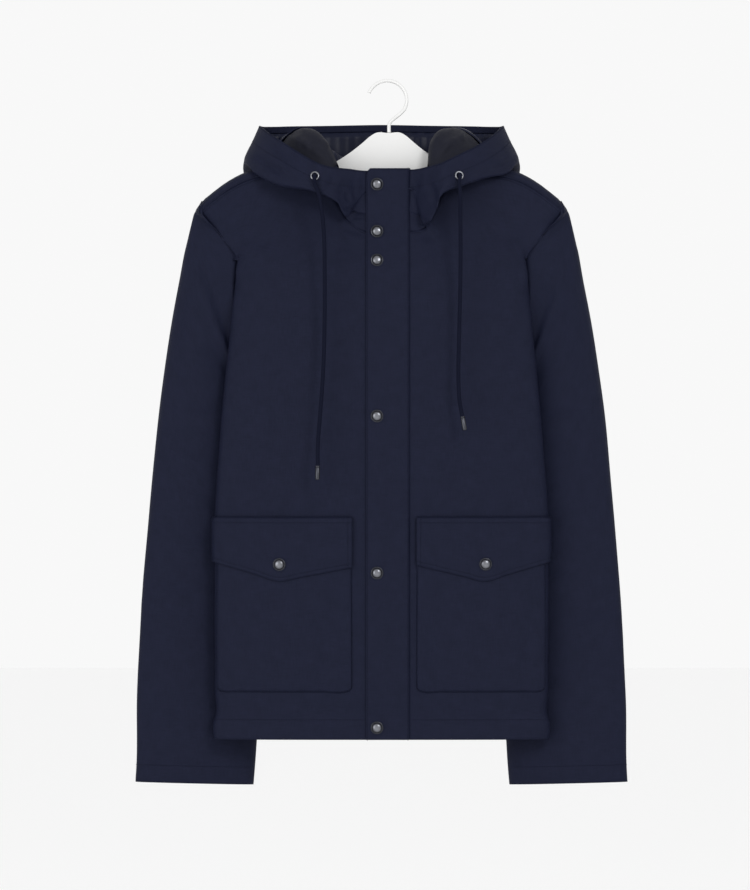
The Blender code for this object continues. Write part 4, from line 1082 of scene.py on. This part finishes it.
def hood_section(side, at):
    """One section of the hood, from its neck seam over the crest and the outer fold to the opening edge."""
    rise_steps, over_steps, edge_steps = HOOD_STEPS
    table = HOOD[side]
    knots = np.arange(len(table))
    seam = neck_point(side, at)
    inward = -seam * np.array([1, 1, 0]) / np.linalg.norm(seam[:2])
    seam = seam + inward * HOOD_INSET + np.array([0, 0, HOOD_LIFT])
    keys = ("crest", "fold", "edge")
    crest, fold, edge = (curve_through(knots, [row[key] for row in table])(at) for key in keys)
    open_up = float(smooth_step((at - 1.5) / 2))
    drop, climb = abs(crest[2] - fold[2]), abs(edge[2] - fold[2])
    over = level_slope(fold - seam, CREST_ROUND, math.sqrt(6 * BEND * drop) * open_up)
    under = level_slope(fold - seam, CREST_ROUND, math.sqrt(6 * BEND * max(drop, 0.7 * climb)) * open_up)
    rise = (edge - fold) * 0.9
    wall = hermite(fold, edge, under, rise, np.linspace(0, 1, 60)[:, None])
    left_to_go = np.cumsum(np.linalg.norm(np.diff(wall, axis=0), axis=1)[::-1])[::-1]
    facing_from = 1 - np.count_nonzero(left_to_go < FACING_WIDTH) / len(left_to_go)
    first = np.sin(np.linspace(0, math.pi / 2, rise_steps + 1))
    second = (1 - np.cos(np.linspace(0, math.pi, over_steps + 1))[1:]) / 2
    third = np.append(np.linspace(0, facing_from, edge_steps + 1)[1:], 1)
    return np.concatenate([
        hermite(seam, crest, crest - seam, over, first[:, None]),
        hermite(crest, fold, over, under, second[:, None]),
        hermite(fold, edge, under, rise, third[:, None]),
    ])


def hood_surface(side):
    """Grid of the hood's outer face: a row for each section round the neck, columns up each section."""
    sign = SIGN[side]
    return np.array([hood_section(side, at) for at in HOOD_ROWS]) + np.array([sign * SEAM_GAP, 0, 0])


# %% Hood halves
coarse_hood = {side: hood_surface(side) for side in SIGN}
for side, grid in coarse_hood.items():
    fine = refine(grid, 3.0)
    fine = fine[:, ::-1] if side == "right" else fine
    edges = ("right",) if side == "left" else ("left",)
    GRIDS[f"hood_{side}"] = settle(fine, HOOD_CREASES, HOOD_BACK_CREASES, edges, wave=0.8)
    dress(cloth(f"hood_{side}", GRIDS[f"hood_{side}"]), "nylon", f"hood_{side}")


# %% [markdown]
# ## Hood lining
#
# Matt cloth lines both sides of the hood, the navy satin of the back coloured a lighter grey that paints its sheen,
# and satin, gathered into upright folds, crosses the back. A nylon facing covers the casing along the opening edge.
# Each lies a little inside the hood.
# %% Layers inside the hood
GATHER_PITCH, GATHER_DEPTH = 13.0, 3.2
HOOD_STEP = 3.0

whole_hood = np.concatenate([coarse_hood["left"], coarse_hood["right"][-2::-1]])
layer = settle(refine(whole_hood, HOOD_STEP), HOOD_CREASES, HOOD_BACK_CREASES, wave=0.8)
layer = layer - outward(layer) * LINING_INSET


def fine_row(row):
    """The fine row that lies on a coarse row of the whole hood."""
    return int(np.argmin(np.linalg.norm(refine(whole_hood, HOOD_STEP)[:, 0] - whole_hood[row, 0], axis=1)))


def gathers(grid):
    """Upright folds, uneven in width and depth, that only stand inwards from the hood."""
    middle = grid[:, grid.shape[1] // 3]
    along = distances(middle)
    phase = 2 * math.pi * along / GATHER_PITCH + 1.7 * np.sin(along / 29) + 0.9 * np.sin(along / 11 + 2)
    height = GATHER_DEPTH * (0.6 + 0.4 * np.sin(along / 37 + 0.5))
    share = np.linspace(0, 1, grid.shape[1])
    sway = 0.9 * np.sin(share * 5)[None, :] + 0.5 * np.sin(share[None, :] * 17 + along[:, None] / 21)
    return height[:, None] * (0.5 + 0.5 * np.sin(phase[:, None] + sway)) ** 1.6


BACK_FACING = 9.0                  # what shows of the facing across the back, above the gathers


def total_length(grid):
    return np.linalg.norm(np.diff(grid, axis=1), axis=2).sum(axis=1)


def shorten(grid, cut, columns):
    """Each row without its last part, of the length given, and shared out evenly again."""
    rows = []
    for row, less in zip(grid, cut):
        away = distances(row)
        where = np.linspace(0, away[-1] - less, columns)
        rows.append(np.stack([np.interp(where, away, row[:, k]) for k in range(3)], axis=1))
    return np.array(rows)


facing_columns = round(FACING_WIDTH / HOOD_STEP)
first = {"left": fine_row(LINING_FIRST_ROW), "right": fine_row(len(whole_hood) - 1 - LINING_FIRST_ROW)}
change = {"left": fine_row(LINING_CHANGE_ROW), "right": fine_row(len(whole_hood) - 1 - LINING_CHANGE_ROW)}
for side in SIGN:
    low, high = sorted((first[side], change[side]))
    painted_sheen_lining = layer[low:high + 1, :-facing_columns]
    painted_sheen_lining = painted_sheen_lining - outward(painted_sheen_lining) * np.maximum(crease_depth(painted_sheen_lining, LINING_CREASES), 0)[..., None]
    dress(cloth(f"hood_lining_{side}", painted_sheen_lining, LINING_WALL), "painted_sheen_lining", f"hood_lining_{side}")

# %% Satin and facing
satin = layer[change["left"] + 1:change["right"]]
satin = shorten(satin, np.full(len(satin), BACK_FACING), satin.shape[1] - facing_columns)
satin = satin - outward(satin) * gathers(satin)[..., None]
dress(cloth("hood_lining_back", satin, LINING_WALL), "satin", "hood_lining_back")
middle = (change["left"] + change["right"]) / 2
near_back = smooth_step((1 - np.abs(np.arange(len(layer)) - middle) / (middle - change["left"])) / 0.12 + 0.5)
width = FACING_WIDTH + (BACK_FACING - FACING_WIDTH) * near_back
facing = shorten(layer[:, ::-1], total_length(layer) - width + 0.6, 8)[:, ::-1]
GRIDS["hood_facing"] = facing
dress(cloth("hood_facing", facing, LINING_WALL), "nylon", "hood_facing")


# %% [markdown]
# ## Placket, pockets and flaps
#
# What lies on the fronts is made from the fronts' own points, moved out. So it follows their curve.
# %% Pieces on the fronts
def body_offset(angle, z, side, out):
    """A point of the lower body moved out along its normal."""
    small = 1e-3
    here = lower_body(angle, z, side)
    across = lower_body(angle + small, z, side) - here
    up = lower_body(angle, z + 1.0, side) - here
    normal = np.cross(across, up) * side
    return here + normal / np.linalg.norm(normal, axis=-1, keepdims=True) * out


def place_at(angle):
    """How far across the body a section angle lies; the opposite of angle_at."""
    return BODY_HALF_WIDTH * np.abs(np.sin(angle)) ** SECTION_POWER


def pocket_columns(side, from_x, to_x, extra=()):
    """The front's own columns between two places across, and a few more."""
    angles = [a for a in front_columns(side)[1:11] if from_x - 0.01 < place_at(a) < to_x + 0.01]
    return np.array(sorted(angles + [angle_at(x) for x in extra]))


def placket_face_y(x, z, out):
    """The fronts, and above the neck seam the stand of the collar, moved outwards."""
    on_front = front_point(x, np.minimum(z, NECK["left"][0][1]))[..., 1]
    rise = np.maximum(z - NECK["left"][0][1], 0) / (PLACKET_TOP - NECK["left"][0][1])
    collar = HOOD["left"][0]["edge"][1]
    return on_front + (collar - on_front) * rise - out


def sunk(grid, edges, depth=1.9, reach=2.2):
    """Sewn edges pulled down to the panel they are stitched to."""
    down = np.zeros(grid.shape[:2])
    for edge in edges:
        sink = depth * np.exp(-((way_in(from_edge(grid, edge)) / reach) ** 2))
        down = np.maximum(down, turned_back(sink, edge))
    return grid - outward(grid) * down[..., None]


def on_front(name, rows, flip, fullness, puckers, sewn=()):
    """A piece from its coarse rows: finer, a little full in the middle, and settled like the front."""
    fine = refine(np.array(rows), 2.5)
    fine = fine[:, ::-1] if flip else fine
    u, v = np.linspace(0, 1, fine.shape[1]), np.linspace(0, 1, fine.shape[0])
    full = fullness * np.sin(v * math.pi)[:, None] ** 0.7 * np.sin(u * math.pi)[None, :] ** 0.7
    GRIDS[name] = sunk(settle(fine, FRONT_CREASES, (), puckers) + outward(fine) * full[..., None], sewn)
    return cloth(name, GRIDS[name], 1.0)


# %% Pocket bags and flaps
def pocket_rows(side):
    sizes = POCKETS[side]
    sign = SIGN[side]
    inner, outer = abs(sizes["inner"]), abs(sizes["outer"])
    corners = tuple(inner + POCKET_CORNER * share for share in (0.15, 0.45, 1)) + (outer - 1, outer - 3.5)
    angles = pocket_columns(side, inner, outer, corners)
    x = place_at(angles)
    corner = np.minimum(x - inner, outer - x) / POCKET_CORNER
    bottom = POCKET_BOTTOM_Z + POCKET_CORNER * (1 - np.sqrt(1 - (1 - np.clip(corner, 0, 1)) ** 2))
    return [body_offset(angles, bottom + (POCKET_TOP_Z - bottom) * share, sign, LAY_GAP + SHELL_WALL)
            for share in (0, 0.34, 0.67, 1)]


def flap_rows(side):
    sizes = POCKETS[side]
    sign = SIGN[side]
    inner, outer = abs(sizes["inner"]), abs(sizes["outer"])
    angles = pocket_columns(side, inner, BODY_HALF_WIDTH, (outer - POCKET_CORNER / 2,))
    x = place_at(angles)
    lip = sorted((abs(px), pz) for px, pz in sizes["lip"])
    low = np.interp(x, [p[0] for p in lip], [p[1] for p in lip])
    out = 2 * (LAY_GAP + SHELL_WALL)
    return [body_offset(angles, low + (POCKET_SEAM_Z - low) * share, sign, out) for share in (0, 0.5, 1)]


for side in SIGN:
    flip = side == "left"
    sewn = ("left", "right", "bottom")
    bag = on_front(f"pocket_{side}", pocket_rows(side), flip, 0.5, sewn, sewn)
    dress(bag, "nylon", f"pocket_{side}")
    flap = on_front(f"flap_{side}", flap_rows(side), flip, 0.5, ("bottom", "top"), ("top",))
    dress(flap, "nylon", f"flap_{side}")


# %% Placket
def placket_rows():
    corner_x = np.array([PLACKET_LEFT, PLACKET_LEFT + 2.3, PLACKET_LEFT + PLACKET_CORNER])
    x = np.concatenate([corner_x, [PLACKET_SNAP_X, CENTRE_X, 21.0, PLACKET_RIGHT]])
    inset = np.clip((x - PLACKET_LEFT) / PLACKET_CORNER, 0, 1)
    top = PLACKET_TOP - PLACKET_CORNER * (1 - np.sqrt(1 - (1 - inset) ** 2))
    marks = list(FRONT_ROWS_Z) + [-200.0, NECK["left"][0][1], -150.0, -125.0]
    rows = [np.stack([x, placket_face_y(x, np.full(len(x), z), PLACKET_OUT), np.full(len(x), z)], axis=1)
            for z in marks]
    return rows + [np.stack([x, placket_face_y(x, top, PLACKET_OUT), top], axis=1)]


placket_piece = on_front("placket", placket_rows(), False, 0.4, ("left", "right"), ("right",))
dress(placket_piece, "nylon", "placket")


# %% [markdown]
# ## Snaps, eyelets and cord tips
#
# Each snap is a turned cap: a flat rim that lies on the cloth, a groove and a low dome. The
# profile is turned round its axis, and each ring carries how much painted shade it takes: darkest in
# the groove, dark at the rim and fading to none on top of the dome, which paints the dome's shading and highlight.
# %% Turned metal
def turned(name, profile, centre, axis, steps=56, ring=False):
    """Turn rows of (radius, height, painted shade) round the axis. A ring's profile closes on itself."""
    direction = np.asarray(axis, float) / np.linalg.norm(axis)
    side = np.cross(direction, (0.0, 0.3, 1.0))
    side /= np.linalg.norm(side)
    other = np.cross(direction, side)
    build = bmesh.new()
    painted_shade = build.verts.layers.float.new("painted_shade")
    loops = []
    for radius, height, dark in profile:
        loop = []
        for k in range(steps if radius > 0 else 1):
            angle = 2 * math.pi * k / steps
            ray = side * math.cos(angle) + other * math.sin(angle)
            spot = np.asarray(centre) + ray * radius + direction * height + np.array([JACKET_X, 0, 0])
            vert = build.verts.new(tuple(spot * MM))
            vert[painted_shade] = dark
            loop.append(vert)
        loops.append(loop)
    pairs = list(zip(loops, loops[1:] + loops[:1])) if ring else list(zip(loops, loops[1:]))
    for low, high in pairs:
        for k in range(steps):
            near = [low[k % len(low)], low[(k + 1) % len(low)]]
            far = [high[(k + 1) % len(high)], high[k % len(high)]]
            corners = list(dict.fromkeys(near + far))
            if len(corners) > 2:
                build.faces.new(corners)
    mesh = bpy.data.meshes.new(name)
    build.to_mesh(mesh)
    build.free()
    outwards(mesh)
    mesh.shade_smooth()
    return add_piece(name, mesh)


# Columns: share of the radius, height, painted shade (darkest in the groove and at the rim, none on top of the dome)
SNAP_PROFILE = (
    (0, 0, 0.9), (0.94, 0, 0.9), (0.99, 0.25, 0.9), (1, 0.55, 0.85), (0.985, 0.85, 0.8), (0.94, 1.08, 0.78),
    (0.90, 1.10, 0.8), (0.86, 0.95, 0.95), (0.82, 0.95, 1.0), (0.785, 1.25, 0.95), (0.75, 1.8, 0.85),
    (0.69, 2.35, 0.72), (0.60, 2.85, 0.55), (0.48, 3.25, 0.32), (0.34, 3.52, 0.14), (0.18, 3.68, 0.04),
    (0, 3.72, 0.0),
)


def snap_at(name, centre, axis):
    profile = [(share * SNAP_D / 2, height, dark) for share, height, dark in SNAP_PROFILE]
    return dress(turned(name, profile, centre, axis), "snap", name)


# %% Snaps on the placket and the flaps
reach = SNAP_D / 2
for number, z in enumerate(PLACKET_SNAP_Z, 1):
    above, here, below = (float(placket_face_y(np.array(PLACKET_SNAP_X), z + dz, PLACKET_OUT))
                          for dz in (reach, 0, -reach))
    lift = max(0, here - (above + below) / 2) + 0.5
    snap_at(f"snap_{number}", np.array([PLACKET_SNAP_X, here - lift, z]), (0, -1, (above - below) / SNAP_D))
for side in SIGN:
    sign = SIGN[side]
    snap_x, snap_z = POCKETS[side]["snap"]
    angle = np.array([angle_at(snap_x)])
    out = 2 * (LAY_GAP + SHELL_WALL)
    spot = body_offset(angle, snap_z, sign, out + 0.9)[0]
    snap_at(f"flap_snap_{side}", spot, body_offset(angle, snap_z, sign, out + 3)[0] - spot)
print("snaps:", len(PLACKET_SNAP_Z) + 2)


# %% Eyelets, cords and tips
def wing_place(side, x, z):
    """The place on the hood's outer wall at x and z, and its outward normal."""
    fine = refine(coarse_hood[side], 3.0)
    normal = outward(fine) * (1 if side == "left" else -1)
    outer = slice(int(fine.shape[1] * 0.6), None)
    points, normals = fine[:, outer].reshape(-1, 3), normal[:, outer].reshape(-1, 3)
    far = np.hypot(points[:, 0] - x, points[:, 2] - z) + (points[:, 1] > 0) * 1e3
    near = np.argsort(far)[:6]
    weight = 1 / (far[near] + 0.01)
    spot = (points[near] * weight[:, None]).sum(0) / weight.sum()
    way = normals[near].sum(0)
    return np.array([x, spot[1], z]), way / np.linalg.norm(way)


def eyelet_and_cord(side):
    x, z = EYELETS[side]
    spot, normal = wing_place(side, x, z)
    inner, outer = EYELET_HOLE / 2, EYELET_D / 2
    # The third column is painted shade: darkest round the hole, dark at the foot of the rim, none on the rim's top.
    profile = [
        (inner, 0.0, 1.0), (outer, 0.0, 0.6), (outer + 0.02, 0.3, 0.3), (outer - 0.25, 0.75, 0.05),
        (outer - 0.8, 1.08, 0.0), (outer - 1.4, 1.12, 0.0), (inner + 0.5, 0.95, 0.15), (inner + 0.1, 0.55, 0.6),
    ]
    eyelet = turned(f"eyelet_{side}", profile, spot + normal * SEAM_GAP, normal, ring=True)
    dress(eyelet, "snap", f"eyelet_{side}")
    start = spot + normal * (EYELET_H + SEAM_GAP)
    way = [start, start + normal * 4 + np.array([0, -1.0, -1.0]), np.array([x, CORD_Y + 0.5, z - 9.5])]
    way += [np.array([px, CORD_Y, pz]) for px, pz in CORDS[side]]
    way = np.array(way)
    length = distances(way)
    points = curve_through(length, way)(np.linspace(0, length[-1], CORD_STEPS))
    points = points + np.array([JACKET_X, 0, 0])
    rope = braided_tube(f"drawcord_{side}", points, CORD_D)
    lead = points[-1] - points[-2]
    lead = lead / np.linalg.norm(lead)
    radius = TIP_D / 2
    # The third column is painted shade: dark at the end where the cord goes in and in the groove near it, none along
    # the barrel, a little at the far end.
    shape = [
        (0, 0, 0.8), (radius * 0.93, 0, 0.7), (radius, 0.5, 0.3), (radius * 0.99, 1.6, 0.1),
        (radius * 0.9, 2.0, 0.8), (radius * 0.9, 2.5, 0.8), (radius * 0.99, 2.9, 0.1),
        (radius, TIP_LENGTH - 2.2, 0.0), (radius * 0.93, TIP_LENGTH - 0.8, 0.0),
        (radius * 0.7, TIP_LENGTH - 0.1, 0.1), (0, TIP_LENGTH, 0.3),
    ]
    tip = turned(f"cord_tip_{side}", shape, points[-1] - np.array([JACKET_X, 0, 0]) + lead * SEAM_GAP, lead)
    dress(tip, "tip", f"cord_tip_{side}")
    dress(rope, "cord", f"drawcord_{side}")


for side in SIGN:
    eyelet_and_cord(side)

# %% [markdown]
# ## Stitches
#
# A row of stitches repeats one small shape along a line, which is what Geometry Nodes do well: the
# line becomes a curve, the curve is resampled at the stitch's pitch, and a short capsule of thread is
# placed on each point, turned along the seam. The lines are read off the cloth's own grids.
# %% The stitch tree
def stitch_tree():
    tree = bpy.data.node_groups.new("stitch_row", "GeometryNodeTree")
    tree.interface.new_socket("Line", in_out="INPUT", socket_type="NodeSocketGeometry")
    for name, value in (("Pitch", 0.0032), ("Stitch Length", 0.0023), ("Thread", 0.0006)):
        socket = tree.interface.new_socket(name, in_out="INPUT", socket_type="NodeSocketFloat")
        socket.default_value = value
    tree.interface.new_socket("Thread Finish", in_out="INPUT", socket_type="NodeSocketMaterial")
    tree.interface.new_socket("Stitches", in_out="OUTPUT", socket_type="NodeSocketGeometry")
    inside, outside = tree.nodes.new("NodeGroupInput"), tree.nodes.new("NodeGroupOutput")
    line = tree.nodes.new("GeometryNodeMeshToCurve")
    spread = tree.nodes.new("GeometryNodeResampleCurve")
    spread.mode = "LENGTH"
    way = tree.nodes.new("GeometryNodeInputTangent")
    turn = tree.nodes.new("FunctionNodeAlignRotationToVector")
    turn.axis = "X"
    capsule = tree.nodes.new("GeometryNodeMeshUVSphere")
    capsule.inputs["Segments"].default_value = 6
    capsule.inputs["Rings"].default_value = 4
    capsule.inputs["Radius"].default_value = 0.5
    size = tree.nodes.new("ShaderNodeCombineXYZ")
    place = tree.nodes.new("GeometryNodeInstanceOnPoints")
    real = tree.nodes.new("GeometryNodeRealizeInstances")
    paint = tree.nodes.new("GeometryNodeSetMaterial")
    wires = (
        (inside, "Line", line, "Mesh"), (line, "Curve", spread, "Curve"), (inside, "Pitch", spread, "Length"),
        (way, 0, turn, "Vector"), (spread, "Curve", place, "Points"), (capsule, "Mesh", place, "Instance"),
        (turn, "Rotation", place, "Rotation"), (inside, "Stitch Length", size, "X"), (inside, "Thread", size, "Y"),
        (inside, "Thread", size, "Z"), (size, 0, place, "Scale"), (place, "Instances", real, "Geometry"),
        (real, "Geometry", paint, "Geometry"), (inside, "Thread Finish", paint, "Material"),
        (paint, "Geometry", outside, "Stitches"),
    )
    for source, given, target, taken in wires:
        tree.links.new(source.outputs[given], target.inputs[taken])
    return tree


STITCH_TREE = stitch_tree()


# %% Lines beside an edge
def line_beside(grid, edge, inset, lift=0.15):
    """The points that lie an inset in from one edge, measured along the cloth and just proud of it."""
    normal = from_edge(outward(grid), edge)
    grid = from_edge(grid, edge)
    spots = []
    for c in range(grid.shape[1]):
        away = distances(grid[:, c])
        lifted = grid[:, c] + normal[:, c] * lift
        spots.append([np.interp(inset, away, lifted[:, k]) for k in range(3)])
    return np.array(spots)


def sew(name, lines):
    """Stitches along each line, as one plain mesh."""
    spots, edges = [], []
    for line in lines:
        first = len(spots)
        spots += [tuple((p + [JACKET_X, 0, 0]) * MM) for p in line]
        edges += [(first + k, first + k + 1) for k in range(len(line) - 1)]
    mesh = bpy.data.meshes.new(name)
    mesh.from_pydata(spots, edges, [])
    guide = add_piece(name + "_line", mesh)
    rows = guide.modifiers.new("stitches", "NODES")
    rows.node_group = STITCH_TREE
    for item in STITCH_TREE.interface.items_tree:
        if item.in_out == "INPUT" and item.name == "Thread Finish":
            rows[item.identifier] = FINISH["thread"]
    evaluated = guide.evaluated_get(bpy.context.evaluated_depsgraph_get())
    plain = bpy.data.meshes.new_from_object(evaluated)
    plain.name = name
    plain.shade_smooth()
    bpy.data.objects.remove(guide, do_unlink=True)
    piece = add_piece(name, plain)
    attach(piece, "root")
    print(f"{name}: {len(plain.polygons)} faces")


# %% Sew the body, the pockets, the sleeves and the hood
HEM_INSET, CUFF_INSET, CASING_INSET = 24.0, 21.0, 21.0

# Columns: piece, edge, how far in
SEAMS = {
    "body": [("back", "bottom", HEM_INSET), ("front_left", "bottom", HEM_INSET), ("front_right", "bottom", HEM_INSET),
             ("placket", "right", 3.0), ("placket", "left", 1.8), ("placket", "top", 1.8),
             ("front_left", "top", 1.6), ("front_right", "top", 1.6), ("back", "top", 1.8)],
    "pocket": [],
    "sleeve": [("sleeve_left", "top", CUFF_INSET), ("sleeve_right", "top", CUFF_INSET)],
    "hood": [("hood_left", "right", CASING_INSET), ("hood_right", "left", CASING_INSET),
             ("hood_left", "right", 1.5), ("hood_right", "left", 1.5)],
}
for side in SIGN:
    SEAMS["pocket"] += [(f"pocket_{side}", edge, 2.2) for edge in ("left", "right", "bottom")]
    SEAMS["pocket"] += [(f"flap_{side}", edge, 5.0) for edge in ("left", "right", "bottom")]
    SEAMS["pocket"] += [(f"flap_{side}", "top", inset) for inset in (1.6, 7.7)]
for place, seams in SEAMS.items():
    sew(f"{place}_stitches", [line_beside(GRIDS[piece], edge, inset) for piece, edge, inset in seams])

# %% [markdown]
# ## Hanger
#
# The hanger is a flat white moulding with softened edges, and its hook is a wire with a white coat.
# The outline is drawn as a flat curve, pulled in by the size of its bevel so that the bevel brings it
# back to its true size. A wire is a tube along its centre line.
# %% Hanger outline
HANGER_TOP = ((0, -61), (16, -61.3), (22, -65), (29, -71), (38, -78.5), (54, -90), (69, -99), (82, -106.5),
              (110, -110.5), (155, -118), (190, -135))
HANGER_LOW = ((0, -126), (60, -129), (110, -136), (155, -143), (190, -152))
HOOK_CENTRE = (-1.5, -21.4)
HOOK_STEM = ((14.5, -37.5), (7.5, -43.0), (2.6, -47.5), (0.7, -52.0))
HOOK_FROM, HOOK_TO = 158, -28      # degrees of the hook's arc, from its free end to the bend into the stem
HANGER_SOFT = 1.4                  # the bevel of the moulding's edges


def hanger_outline():
    top = curve_through([p[0] for p in HANGER_TOP], [p[1] for p in HANGER_TOP])
    low = curve_through([p[0] for p in HANGER_LOW], [p[1] for p in HANGER_LOW])
    arm = HANGER_TOP[-1][0]
    along = np.concatenate([np.linspace(0, 60, 41), np.linspace(60, arm, 40)[1:]])
    upper = [(x, float(top(x))) for x in along]
    lower = [(x, float(low(x))) for x in along[::-1]]
    middle, half_tip = (upper[-1][1] + lower[0][1]) / 2, (upper[-1][1] - lower[0][1]) / 2
    nose = [(arm + half_tip * 0.9 * math.sin(a), middle + half_tip * math.cos(a))
            for a in np.linspace(0, math.pi, 25)[1:-1]]
    right = upper + nose + lower
    return right + [(-x, z) for x, z in right[::-1] if x > 0.01]


def plain_mesh(curve):
    """A plain mesh of what the curve draws, with its doubled points joined."""
    drawn = bpy.data.objects.new(curve.name, curve)
    bpy.context.scene.collection.objects.link(drawn)
    mesh = bpy.data.meshes.new_from_object(drawn.evaluated_get(bpy.context.evaluated_depsgraph_get()))
    bpy.data.objects.remove(drawn, do_unlink=True)
    build = bmesh.new()
    build.from_mesh(mesh)
    bmesh.ops.remove_doubles(build, verts=build.verts, dist=1e-6)
    bmesh.ops.recalc_face_normals(build, faces=build.faces)
    build.to_mesh(mesh)
    build.free()
    return mesh


def hanger_body():
    outline = hanger_outline()
    curve = bpy.data.curves.new("hanger_outline", "CURVE")
    curve.dimensions = "2D"
    curve.fill_mode = "BOTH"
    curve.bevel_depth = HANGER_SOFT * MM
    curve.bevel_resolution = 4
    curve.extrude = (HANGER_THICK / 2 - HANGER_SOFT) * MM
    curve.offset = -HANGER_SOFT * MM
    line = curve.splines.new("POLY")
    line.use_cyclic_u = True
    line.points.add(len(outline) - 1)
    for spot, (x, z) in zip(line.points, outline):
        spot.co = (x * MM, z * MM, 0, 1)
    mesh = plain_mesh(curve)
    for vert in mesh.vertices:
        vert.co = (vert.co.x, -vert.co.z, vert.co.y)
    return add_piece("hanger_moulding", mesh)


def hanger_hook():
    centre_x, centre_z = HOOK_CENTRE
    turn = np.radians(np.linspace(HOOK_FROM, HOOK_TO, 101))
    arc = [(centre_x + HOOK_RADIUS * math.cos(a), 0, centre_z + HOOK_RADIUS * math.sin(a)) for a in turn]
    last_of_arc = [arc[-9], arc[-5], arc[-1]]
    stem = [(x, 0, z) for x, z in HOOK_STEM] + [(HOOK_STEM[-1][0], 0, HANGER_TOP[0][1] + SEAM_GAP)]
    knots = np.array(last_of_arc + stem)
    bend = curve_through(np.arange(len(knots)), knots)(np.linspace(2, len(knots) - 1, 60))
    way = np.array(arc + [tuple(p) for p in bend[1:]], float)
    curve = bpy.data.curves.new("hook_wire", "CURVE")
    curve.dimensions = "3D"
    curve.bevel_depth = HOOK_WIRE / 2 * MM
    curve.bevel_resolution = 6
    curve.use_fill_caps = True
    line = curve.splines.new("POLY")
    line.points.add(len(way) - 1)
    for spot, point in zip(line.points, way):
        spot.co = (*(point * MM), 1.0)
    mesh = plain_mesh(curve)
    mesh.shade_smooth()
    return add_piece("hook_wire", mesh)


moulding = dress(hanger_body(), "hanger", "hanger_body")
wire = dress(hanger_hook(), "hook", "hanger_hook")
print("hanger:", len(moulding.data.polygons), "faces; hook:", len(wire.data.polygons), "faces")
